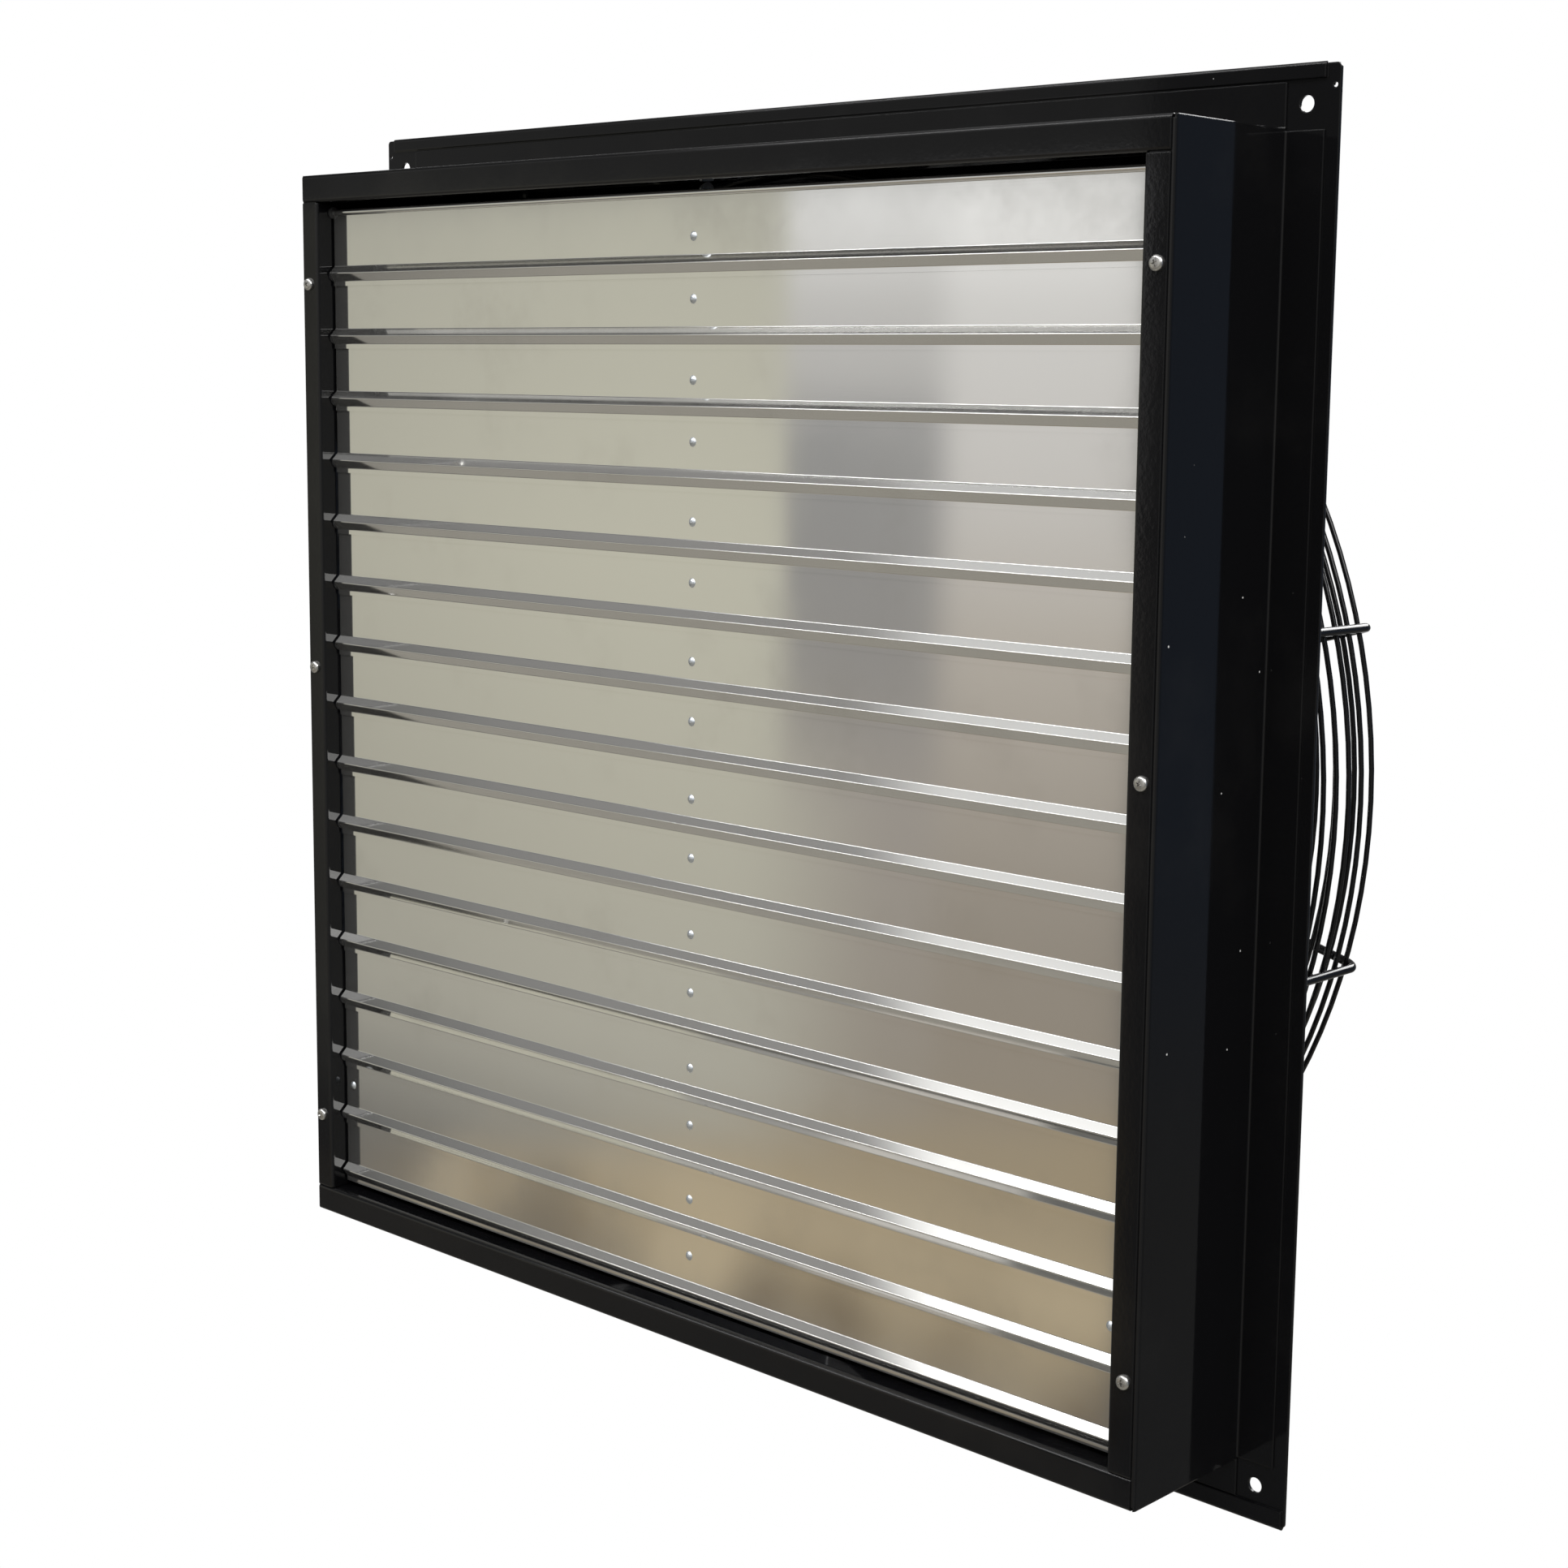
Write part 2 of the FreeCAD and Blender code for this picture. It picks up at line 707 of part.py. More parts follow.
def bearing_starts():
    return (stack_start - winding_reach, plate_front - bearing_width)


def motor_bearings():
    outer = bearing_radius - seat_gap
    inner = shaft_radius + bearing_gap
    return Part.makeCompound([y_ring(outer, inner, y, y + bearing_width) for y in bearing_starts()])


def motor_shaft():
    return y_rod(shaft_radius, 0, 0, can_front + can_wall, plate_front - bearing_gap)


def rotor_can():
    # A deep cup with a boss for the shaft and cooling vents in its front.
    cup = y_rod(can_radius, 0, 0, can_front, can_back)
    rim = [e for e in cup.Edges if abs(e.CenterOfMass.y - can_front) < 0.01 and e.Length > can_radius]
    cup = cup.makeFillet(can_corner, rim)
    hollow = y_rod(can_radius - can_wall, 0, 0, can_front + can_wall, can_back + 1)
    foot = [e for e in hollow.Edges if abs(e.CenterOfMass.y - can_front - can_wall) < 0.01]
    hollow = hollow.makeFillet(can_corner - can_wall, [e for e in foot if e.Length > can_radius])
    cup = cup.cut(hollow)
    boss_end = can_front + can_wall + boss_reach
    cup = cup.fuse(y_rod(boss_radius, 0, 0, can_front + can_wall / 2, boss_end))
    cup = cup.cut(y_rod(shaft_radius + seat_gap, 0, 0, can_front + can_wall, boss_end + 1))
    for k in range(vent_count):
        turn = 2 * math.pi * k / vent_count
        x = vent_circle * math.cos(turn)
        z = vent_circle * math.sin(turn)
        cup = cup.cut(y_rod(vent_radius, x, z, can_front - 1, can_front + can_wall + 1))
    for hole in foot_rivet_holes():
        cup = cup.cut(hole)
    return cup.removeSplitter()


def rotor_core():
    return y_ring(can_radius - can_wall - shell_gap, stack_radius + air_gap, stack_start, stack_end)


def blade_section(radius):
    # A cambered strip of sheet in the plane across the blade's radial line.
    share = (radius - can_radius) / (fan_diameter / 2 - can_radius)
    chord = blade_root_chord + (blade_tip_chord - blade_root_chord) * share
    pitch = math.radians(blade_root_pitch + (blade_tip_pitch - blade_root_pitch) * share)
    sweep = blade_sweep * share * share
    along = in_yz(math.sin(pitch), math.cos(pitch))
    normal = in_yz(math.cos(pitch), -math.sin(pitch))
    centre = FreeCAD.Vector(radius, fan_plane, sweep)
    lead = centre + along * (chord / 2)
    trail = centre - along * (chord / 2)
    crown = centre + normal * (chord * blade_camber)
    half = normal * (blade_sheet / 2)
    edges = [
        Part.Arc(lead + half, crown + half, trail + half).toShape(),
        Part.LineSegment(trail + half, trail - half).toShape(),
        Part.Arc(trail - half, crown - half, lead - half).toShape(),
        Part.LineSegment(lead - half, lead + half).toShape(),
    ]
    return Part.Wire(edges)


def foot_block(length, width, inner, outer):
    # A slanted strip of the cylinder between two radii, where a blade's foot lies on the can.
    strip = block(0, outer + 1, -width / 2, width / 2, -length / 2, length / 2)
    strip.rotate(origin, axis_x, -blade_root_pitch)
    strip.translate(axis_y * fan_plane)
    reach = length + abs(fan_plane)
    return strip.common(y_ring(outer, inner, -reach, reach))


def foot_rivets(start, end, radius):
    # Rivets along one edge of a blade's foot, on the radial lines of the can.
    pitch = math.radians(blade_root_pitch)
    along = in_yz(math.sin(pitch), math.cos(pitch))
    across = in_yz(math.cos(pitch), -math.sin(pitch))
    step = blade_foot_length / blade_rivets_per_foot
    rivets = []
    for k in range(blade_rivets_per_foot):
        offset = (k - (blade_rivets_per_foot - 1) / 2) * step
        place = along * offset - across * (blade_foot_width / 4)
        turn = place.z / can_radius
        out = FreeCAD.Vector(math.cos(turn), 0, math.sin(turn))
        base = axis_y * (fan_plane + place.y)
        rivets.append(rod(radius, base + out * start, base + out * end))
    return rivets


def blade_angles():
    return [blade_first_angle + 360.0 / blade_count * k for k in range(blade_count)]


def foot_rivet_holes():
    inside = can_radius - 2 * can_wall
    holes = foot_rivets(inside, foot_radius, blade_rivet_radius + seat_gap)
    return [around_y(hole, angle) for angle in blade_angles() for hole in holes]


def fan_blade():
    tip = fan_diameter / 2
    radii = [can_radius * 0.6 + (tip * 1.06 - can_radius * 0.6) * k / 3 for k in range(4)]
    blade = Part.makeLoft([blade_section(radius) for radius in radii], True, False)
    reach = blade_tip_chord
    root = foot_radius - blade_foot_sheet / 2
    blade = blade.common(y_ring(tip, root, -reach, reach))
    foot = foot_block(blade_foot_length, blade_foot_width, can_radius + shell_gap, foot_radius)
    blade = blade.fuse(foot)
    for hole in foot_rivets(can_radius, foot_radius + 1, blade_rivet_radius + seat_gap):
        blade = blade.cut(hole)
    return blade.removeSplitter()


def fan_blades():
    blade = fan_blade()
    return Part.makeCompound([around_y(blade, angle) for angle in blade_angles()])


def blade_rivets():
    tails = can_radius - can_wall - blade_rivet_tail
    shanks = foot_rivets(tails, foot_radius + blade_rivet_head, blade_rivet_radius)
    heads = foot_rivets(foot_radius + seat_gap, foot_radius + blade_rivet_head, blade_rivet_head_radius)
    rivets = [shank.fuse(head) for shank, head in zip(shanks, heads)]
    return Part.makeCompound([around_y(piece, angle) for angle in blade_angles() for piece in rivets])


def terminal_box():
    y0 = plate_back
    y1 = plate_back + terminal_depth
    outer = rounded_box(terminal_half, terminal_corner, y0, y1)
    inner_half = terminal_half - terminal_wall
    inner = rounded_box(inner_half, terminal_corner - terminal_wall, y0 + terminal_wall, y1 + 1)
    shell = outer.cut(inner)
    shell = shell.cut(y_rod(cable_hole_radius, 0, 0, y0 - 1, y0 + terminal_wall + 1))
    return shell.cut(gland_hole())


def rounded_box(half, corner, y0, y1):
    body = block(-half, half, y0, y1, -half, half)
    upright = [e for e in body.Edges if abs(e.tangentAt(e.FirstParameter).y) > 0.9]
    return body.makeFillet(corner, upright)


def gland_y():
    return plate_back + (terminal_depth + terminal_wall) / 2


def z_rod(radius, z0, z1):
    return rod(radius, FreeCAD.Vector(0, gland_y(), z0), FreeCAD.Vector(0, gland_y(), z1))


def gland_hole():
    return z_rod(gland_hole_radius + seat_gap, -terminal_half - 1, 0)


def terminal_lid():
    y0 = plate_back + terminal_depth
    lid = rounded_box(terminal_half, terminal_corner, y0, y0 + lid_thickness)
    rim = [e for e in lid.Edges if abs(e.CenterOfMass.y - y0 - lid_thickness) < 0.01]
    return lid.makeFillet(lid_round, rim)


def cable_gland():
    # A hexagon against the box's underside, a round nose below it and a spigot in the hole.
    nut = hex_prism(gland_flats, 0, 0, 0, gland_nut)
    nut.rotate(origin, axis_x, -90)
    nut.translate(FreeCAD.Vector(0, gland_y(), -terminal_half))
    nose = z_rod(gland_nose_radius, -terminal_half - gland_reach, -terminal_half - gland_nut)
    spigot = z_rod(gland_hole_radius, -terminal_half, -terminal_half + 2 * terminal_wall)
    body = nut.fuse([nose, spigot])
    bore = z_rod(gland_bore, -terminal_half - gland_reach - 1, -terminal_half + 2 * terminal_wall + 1)
    return body.cut(bore).removeSplitter()


def all_parts():
    right_side = box_right()
    right_stile = stile_right()
    parts = {
        "wall_panel": wall_panel(),
        "venturi_ring": venturi_ring(),
        "box_top": level_sheet(box_flange),
        "box_bottom": level_sheet(bottom_flange).mirror(origin, axis_z),
        "box_left": mirrored_x(right_side),
        "box_right": right_side,
        "stile_left": mirrored_x(right_stile),
        "stile_right": right_stile,
        "stile_screws": stile_screws(),
        "pivot_bushes": pivot_bushes(),
        "guard_face_rings": guard_face_rings(),
        "guard_side_rings": guard_side_rings(),
        "guard_spokes": guard_spokes(),
        "guard_fasteners": guard_fasteners(),
        "motor_plate": motor_plate(),
        "motor_base": motor_base(),
        "motor_bolts": motor_bolts(),
        "stator_core": stator_core(),
        "motor_bearings": motor_bearings(),
        "terminal_box": terminal_box(),
        "terminal_lid": terminal_lid(),
        "cable_gland": cable_gland(),
        "motor_shaft": motor_shaft(),
        "rotor_can": rotor_can(),
        "rotor_core": rotor_core(),
        "fan_blades": fan_blades(),
        "blade_rivets": blade_rivets(),
        "tie_bar": tie_bar(),
    }
    for k in range(louvre_count):
        parts["louvre_%02d" % (k + 1)] = louvre(k)
        parts["louvre_%02d_fittings" % (k + 1)] = louvre_fittings(k)
    return parts


os.makedirs("parts", exist_ok=True)
for name, shape in all_parts().items():
    shape.exportStep("parts/%s.step" % name)
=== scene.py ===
import math

import bmesh
import bpy
from mathutils import Matrix, Vector


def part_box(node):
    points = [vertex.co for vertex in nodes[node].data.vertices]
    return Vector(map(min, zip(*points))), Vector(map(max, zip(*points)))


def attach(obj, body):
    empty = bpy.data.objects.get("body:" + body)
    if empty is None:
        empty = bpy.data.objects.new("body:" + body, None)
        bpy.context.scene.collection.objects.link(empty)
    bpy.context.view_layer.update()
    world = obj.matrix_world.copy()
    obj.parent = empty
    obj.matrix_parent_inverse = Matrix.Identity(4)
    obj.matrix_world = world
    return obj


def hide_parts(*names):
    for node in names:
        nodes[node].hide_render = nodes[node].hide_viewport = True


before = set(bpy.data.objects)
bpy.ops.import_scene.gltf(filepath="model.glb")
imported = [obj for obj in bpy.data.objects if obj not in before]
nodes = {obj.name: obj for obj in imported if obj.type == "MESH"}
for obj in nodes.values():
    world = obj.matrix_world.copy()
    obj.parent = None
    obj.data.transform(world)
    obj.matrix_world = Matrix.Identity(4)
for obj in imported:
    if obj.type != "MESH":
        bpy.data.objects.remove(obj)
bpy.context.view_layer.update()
print("frame loaded:", len(nodes), "nodes")


# small helpers for shader trees

def addNode(tree, kind, inputs=None, **settings):
    node = tree.nodes.new(kind)
    for name, value in settings.items():
        setattr(node, name, value)
    for name, value in (inputs or {}).items():
        node.inputs[name].default_value = value
    return node


def join(tree, source, target):
    tree.links.new(source, target)


def freshMaterial(name):
    material = bpy.data.materials.new(name)
    material.use_nodes = True
    tree = material.node_tree
    shader = tree.nodes["Principled BSDF"]
    return material, tree, shader


def objectPoints(tree, scale=(1, 1, 1)):
    points = addNode(tree, "ShaderNodeTexCoord")
    mapping = addNode(tree, "ShaderNodeMapping", {"Scale": scale})
    join(tree, points.outputs["Object"], mapping.inputs["Vector"])
    return mapping.outputs["Vector"]


def remap(tree, value, low, high, toLow, toHigh, smooth=True):
    node = addNode(tree, "ShaderNodeMapRange", interpolation_type="SMOOTHSTEP" if smooth else "LINEAR")
    for name, number in (("From Min", low), ("From Max", high), ("To Min", toLow), ("To Max", toHigh)):
        node.inputs[name].default_value = number
    join(tree, value, node.inputs["Value"])
    return node.outputs["Result"]


def mixed(tree, factor, first, second, blend="MIX"):
    node = addNode(tree, "ShaderNodeMix", data_type="RGBA", blend_type=blend)
    sockets = (node.inputs[0], node.inputs[6], node.inputs[7])
    for socket, value in zip(sockets, (factor, first, second)):
        if hasattr(value, "is_linked"):
            join(tree, value, socket)
        elif isinstance(value, (int, float)):
            socket.default_value = value
        else:
            socket.default_value = (*value, 1.0)
    return node.outputs[2]


def calc(tree, operation, first, second=None):
    node = addNode(tree, "ShaderNodeMath", operation=operation)
    for socket, value in zip(node.inputs, (first, second)):
        if value is None:
            continue
        if hasattr(value, "is_linked"):
            join(tree, value, socket)
        else:
            socket.default_value = value
    return node.outputs[0]


# black powder coat: glossy, faint orange peel, dust and a few pale specks

blackCoat = {
    "colour": (0.0042, 0.0042, 0.0048),
    "dust": (0.055, 0.053, 0.048),
    "dustShare": 0.10,
    "cloudScale": 7.0,
    "speck": (0.75, 0.75, 0.73),
    "speckCells": 38.0,
    "speckSize": (0.022, 0.034),
    "speckAbove": 0.93,  # share of cells without a speck
    "roughness": (0.04, 0.08),
    "peelScale": 330.0,
    "peelDepth": 0.015,
    "peelReach": 0.0006,
    "edgeRound": 0.0012,
    "gloss": 0.42,
}
wireCoat = {**blackCoat, "roughness": (0.10, 0.20), "edgeRound": 0.0004}


def makeBlackCoat(name, look, dusty=True):
    material, tree, shader = freshMaterial(name)
    points = objectPoints(tree)
    peel = addNode(tree, "ShaderNodeTexNoise", {"Scale": look["peelScale"], "Detail": 2.0})
    join(tree, points, peel.inputs["Vector"])
    bevel = addNode(tree, "ShaderNodeBevel", {"Radius": look["edgeRound"]}, samples=4)
    bump = addNode(tree, "ShaderNodeBump", {"Strength": look["peelDepth"], "Distance": look["peelReach"]})
    join(tree, peel.outputs["Fac"], bump.inputs["Height"])
    join(tree, bevel.outputs["Normal"], bump.inputs["Normal"])
    join(tree, bump.outputs["Normal"], shader.inputs["Normal"])
    cloud = addNode(tree, "ShaderNodeTexNoise", {"Scale": look["cloudScale"], "Detail": 6.0, "Roughness": 0.65})
    join(tree, points, cloud.inputs["Vector"])
    low, high = look["roughness"]
    join(tree, remap(tree, cloud.outputs["Fac"], 0.35, 0.7, low, high), shader.inputs["Roughness"])
    dust = remap(tree, cloud.outputs["Fac"], 0.5, 0.8, 0.0, look["dustShare"])
    colour = mixed(tree, dust, look["colour"], look["dust"])
    if dusty:
        cells = addNode(tree, "ShaderNodeTexVoronoi", {"Scale": look["speckCells"], "Randomness": 1.0})
        join(tree, points, cells.inputs["Vector"])
        dots = remap(tree, cells.outputs["Distance"], *look["speckSize"], 1.0, 0.0)
        chance = addNode(tree, "ShaderNodeSeparateColor")
        join(tree, cells.outputs["Color"], chance.inputs["Color"])
        rare = calc(tree, "GREATER_THAN", chance.outputs["Red"], look["speckAbove"])
        colour = mixed(tree, calc(tree, "MULTIPLY", dots, rare), colour, look["speck"])
    join(tree, colour, shader.inputs["Base Color"])
    shader.inputs["Specular IOR Level"].default_value = look["gloss"]
    return material


# louvre sheet: bright rolled aluminium, drawn along the louvre

brightSheet = {
    "colour": (0.86, 0.855, 0.83),
    "stain": (0.70, 0.69, 0.66),
    "stainShare": 0.55,
    "roughness": (0.055, 0.09),
    "smudgeScale": 9.0,
    "grainScale": (9.0, 900.0, 1400.0),
    "grainDepth": 0.005,
    "waveScale": (3.0, 20.0, 14.0),
    "waveDepth": 0.02,
    "smear": 0.80,
    "smearTurn": 0.25,
    "metal": 0.955,
}


def makeBrightSheet(name, look):
    material, tree, shader = freshMaterial(name)
    grain = addNode(tree, "ShaderNodeTexNoise", {"Scale": 1.0, "Detail": 3.0, "Roughness": 0.6})
    join(tree, objectPoints(tree, look["grainScale"]), grain.inputs["Vector"])
    waves = addNode(tree, "ShaderNodeTexNoise", {"Scale": 1.0, "Detail": 1.0})
    join(tree, objectPoints(tree, look["waveScale"]), waves.inputs["Vector"])
    smudge = addNode(tree, "ShaderNodeTexNoise", {"Scale": look["smudgeScale"], "Detail": 7.0, "Roughness": 0.62})
    join(tree, objectPoints(tree), smudge.inputs["Vector"])
    broad = addNode(tree, "ShaderNodeBump", {"Strength": look["waveDepth"], "Distance": 0.002})
    join(tree, waves.outputs["Fac"], broad.inputs["Height"])
    fine = addNode(tree, "ShaderNodeBump", {"Strength": look["grainDepth"], "Distance": 0.0004})
    join(tree, grain.outputs["Fac"], fine.inputs["Height"])
    join(tree, broad.outputs["Normal"], fine.inputs["Normal"])
    join(tree, fine.outputs["Normal"], shader.inputs["Normal"])
    low, high = look["roughness"]
    join(tree, remap(tree, smudge.outputs["Fac"], 0.35, 0.75, low, high), shader.inputs["Roughness"])
    stain = remap(tree, smudge.outputs["Fac"], 0.52, 0.8, 0.0, look["stainShare"])
    join(tree, mixed(tree, stain, look["colour"], look["stain"]), shader.inputs["Base Color"])
    shader.inputs["Metallic"].default_value = look["metal"]
    shader.inputs["Anisotropic"].default_value = look["smear"]
    shader.inputs["Anisotropic Rotation"].default_value = look["smearTurn"]
    along = addNode(tree, "ShaderNodeCombineXYZ", {"X": 1.0})
    join(tree, along.outputs["Vector"], shader.inputs["Tangent"])
    return material


# plain metals: rivets, brackets, screws, bolts, blades, castings

plainMetals = {
    "rivetZinc": {"colour": (0.74, 0.78, 0.82), "roughness": (0.34, 0.46), "scale": 300.0, "depth": 0.06},
    "fittingMetal": {"colour": (0.72, 0.72, 0.71), "roughness": (0.26, 0.42), "scale": 220.0, "depth": 0.05},
    "stainless": {"colour": (0.66, 0.65, 0.63), "roughness": (0.20, 0.34), "scale": 420.0, "depth": 0.05},
    "zincSteel": {"colour": (0.58, 0.60, 0.63), "roughness": (0.28, 0.45), "scale": 180.0, "depth": 0.08},
    "bladeMetal": {"colour": (0.60, 0.61, 0.62), "roughness": (0.30, 0.44), "scale": 60.0, "depth": 0.05},
    "castMetal": {"colour": (0.50, 0.51, 0.52), "roughness": (0.42, 0.60), "scale": 260.0, "depth": 0.20},
    "lamination": {"colour": (0.26, 0.26, 0.27), "roughness": (0.40, 0.55), "scale": 200.0, "depth": 0.10},
}


def makePlainMetal(name, look):
    material, tree, shader = freshMaterial(name)
    points = objectPoints(tree)
    skin = addNode(tree, "ShaderNodeTexNoise", {"Scale": look["scale"], "Detail": 4.0, "Roughness": 0.6})
    join(tree, points, skin.inputs["Vector"])
    bump = addNode(tree, "ShaderNodeBump", {"Strength": look["depth"], "Distance": 0.0005})
    join(tree, skin.outputs["Fac"], bump.inputs["Height"])
    join(tree, bump.outputs["Normal"], shader.inputs["Normal"])
    low, high = look["roughness"]
    join(tree, remap(tree, skin.outputs["Fac"], 0.3, 0.7, low, high), shader.inputs["Roughness"])
    darker = tuple(0.8 * part for part in look["colour"])
    shade = mixed(tree, remap(tree, skin.outputs["Fac"], 0.45, 0.75, 0.0, 0.6), look["colour"], darker)
    join(tree, shade, shader.inputs["Base Color"])
    shader.inputs["Metallic"].default_value = 1.0
    return material


# moulded plastics and paint on the motor

mouldedSkins = {
    "nylonBush": {"colour": (0.035, 0.035, 0.036), "roughness": (0.40, 0.55), "scale": 500.0, "depth": 0.08},
    "boxPlastic": {"colour": (0.030, 0.031, 0.034), "roughness": (0.42, 0.55), "scale": 700.0, "depth": 0.18},
    "motorPaint": {"colour": (0.012, 0.012, 0.013), "roughness": (0.32, 0.45), "scale": 420.0, "depth": 0.12},
}


def makeMouldedSkin(name, look):
    material, tree, shader = freshMaterial(name)
    points = objectPoints(tree)
    skin = addNode(tree, "ShaderNodeTexNoise", {"Scale": look["scale"], "Detail": 3.0})
    join(tree, points, skin.inputs["Vector"])
    bump = addNode(tree, "ShaderNodeBump", {"Strength": look["depth"], "Distance": 0.0004})
    join(tree, skin.outputs["Fac"], bump.inputs["Height"])
    join(tree, bump.outputs["Normal"], shader.inputs["Normal"])
    cloud = addNode(tree, "ShaderNodeTexNoise", {"Scale": 14.0, "Detail": 5.0})
    join(tree, points, cloud.inputs["Vector"])
    low, high = look["roughness"]
    join(tree, remap(tree, cloud.outputs["Fac"], 0.35, 0.7, low, high), shader.inputs["Roughness"])
    paler = tuple(1.5 * part + 0.004 for part in look["colour"])
    shade = mixed(tree, remap(tree, cloud.outputs["Fac"], 0.5, 0.8, 0.0, 0.7), look["colour"], paler)
    join(tree, shade, shader.inputs["Base Color"])
    return material


materials = {
    "coat": makeBlackCoat("blackCoat", blackCoat),
    "wire": makeBlackCoat("blackWire", wireCoat, dusty=False),
    "sheet": makeBrightSheet("brightSheet", brightSheet),
}
for name, look in plainMetals.items():
    materials[name] = makePlainMetal(name, look)
for name, look in mouldedSkins.items():
    materials[name] = makeMouldedSkin(name, look)

finishes = {
    "coat": ["wall_panel", "venturi_ring", "box_top", "box_bottom", "box_left", "box_right",
             "stile_left", "stile_right"],
    "wire": ["guard_face_rings", "guard_side_rings", "guard_spokes", "motor_plate"],
    "stainless": ["stile_screws", "motor_bearings", "motor_shaft"],
    "zincSteel": ["guard_fasteners", "motor_bolts", "blade_rivets"],
    "fittingMetal": ["tie_bar"],
    "bladeMetal": ["fan_blades"],
    "castMetal": ["motor_base"],
    "lamination": ["stator_core", "rotor_core"],
    "nylonBush": ["pivot_bushes"],
    "boxPlastic": ["terminal_box", "terminal_lid", "cable_gland"],
    "motorPaint": ["rotor_can"],
}
for number in range(1, 17):
    finishes.setdefault("sheet", []).append("louvre_%02d" % number)
    finishes.setdefault("rivetZinc", []).append("louvre_%02d_fittings" % number)
for finish, names in finishes.items():
    for name in names:
        mesh = nodes[name].data
        mesh.materials.clear()
        mesh.materials.append(materials[finish])
print("materials assigned:", len(materials))


# modelling by hand: what an operator acts on is chosen by its place

near = 0.00001  # closer than this is the same place
seam = 0.000002  # points closer than this are merged


def clearSelection():
    if bpy.context.object and bpy.context.object.mode != "OBJECT":
        bpy.ops.object.mode_set(mode="OBJECT")
    bpy.ops.object.select_all(action="DESELECT")


def only(piece):
    clearSelection()
    piece.select_set(True)
    bpy.context.view_layer.objects.active = piece


def choose(kind, test):
    bpy.ops.mesh.select_mode(type=kind)
    bpy.ops.mesh.select_all(action="DESELECT")
    mesh = bpy.context.edit_object.data
    work = bmesh.from_edit_mesh(mesh)
    for part in {"VERT": work.verts, "EDGE": work.edges, "FACE": work.faces}[kind]:
        corners = [part] if kind == "VERT" else list(part.verts)
        middle = sum((corner.co for corner in corners), Vector()) / len(corners)
        if test(middle):
            part.select_set(True)
    work.select_flush_mode()
    bmesh.update_edit_mesh(mesh)


def closeSeams():
    bpy.ops.mesh.select_mode(type="VERT")
    bpy.ops.mesh.select_all(action="SELECT")
    bpy.ops.mesh.remove_doubles(threshold=seam)
    bpy.ops.mesh.normals_make_consistent(inside=False)
    bpy.ops.object.mode_set(mode="OBJECT")


def applied(piece, kind, **settings):
    only(piece)
    bpy.ops.object.modifier_add(type=kind)
    modifier = piece.modifiers[-1]
    for name, value in settings.items():
        setattr(modifier, name, value)
    bpy.ops.object.modifier_apply(modifier=modifier.name)


def smoothBends(piece, degrees):
    only(piece)
    bpy.ops.object.shade_smooth_by_angle(angle=math.radians(degrees))
    applied(piece, "WEIGHTED_NORMAL", weight=100, keep_sharp=True)


def copied(piece, move):
    only(piece)
    bpy.ops.object.duplicate(linked=False)
    bpy.ops.transform.translate(value=move)
    bpy.ops.object.transform_apply(location=True, rotation=False, scale=False)
    return bpy.context.object


def fitPiece(piece, name, finish, body, slotName, *standsFor):
    piece.name = name
    piece.data.name = name
    piece.data.materials.clear()
    piece.data.materials.append(materials[finish])
    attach(piece, body)
    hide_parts(*standsFor)


# louvres: one sheet, rolled at the top round its pins, with a nosed lip over the next roll

louvreSheet = {
    "half": 0.397,
    "plane": -0.0988,
    "firstPivot": 0.3915,
    "pitch": 0.0486,
    "count": 16,
    "sheet": 0.0008,
    "roll": 0.0020,
    "rollTurn": 5.75,
    "rollSteps": 22,
    "lipStart": 0.0072,
    "lipSteps": [(-0.0052, -0.0054), (0.0041, -0.0060), (0.0, -0.0038)],
    "bend": (0.0005, 5),
    "neck": (0.0003, 3),
    "smooth": 35,
}


def foldLouvre(look):
    pivot, plane = look["firstPivot"], look["plane"]
    top = pivot - look["roll"]
    fold = pivot - look["pitch"] + look["lipStart"]
    middle = (0.0, plane, (top + fold) / 2)
    clearSelection()
    wide = 2 * look["half"]
    bpy.ops.mesh.primitive_plane_add(size=wide, location=middle, rotation=(math.pi / 2, 0, 0))
    louvre = bpy.context.object
    bpy.ops.object.transform_apply(location=True, rotation=True, scale=True)
    bpy.ops.object.mode_set(mode="EDIT")
    bpy.ops.mesh.select_all(action="SELECT")
    bpy.ops.transform.resize(value=(1, 1, (top - fold) / wide), center_override=middle)
    choose("EDGE", lambda spot: abs(spot.z - fold) < near)
    corners = [(plane, fold)]
    for outward, down in look["lipSteps"]:
        bpy.ops.mesh.extrude_region_move(TRANSFORM_OT_translate={"value": (0, outward, down)})
        corners.append((corners[-1][0] + outward, corners[-1][1] + down))
    choose("EDGE", lambda spot: abs(spot.z - top) < near)
    bpy.ops.mesh.spin(steps=look["rollSteps"], angle=look["rollTurn"], center=(0, plane, pivot), axis=(-1, 0, 0))
    bends = [(corners[:3], *look["bend"]), ([(plane, top)], *look["neck"])]
    for places, width, steps in bends:
        # only the edges along the louvre have their middle near x = 0
        choose("EDGE", lambda spot: abs(spot.x) < look["half"] / 4 and any(
            math.hypot(spot.y - y, spot.z - z) < near for y, z in places))
        bpy.ops.mesh.bevel(offset=width, segments=steps, affect="EDGES")
    closeSeams()
    applied(louvre, "SOLIDIFY", thickness=look["sheet"], offset=0.0, use_even_offset=True)
    smoothBends(louvre, look["smooth"])
    return louvre


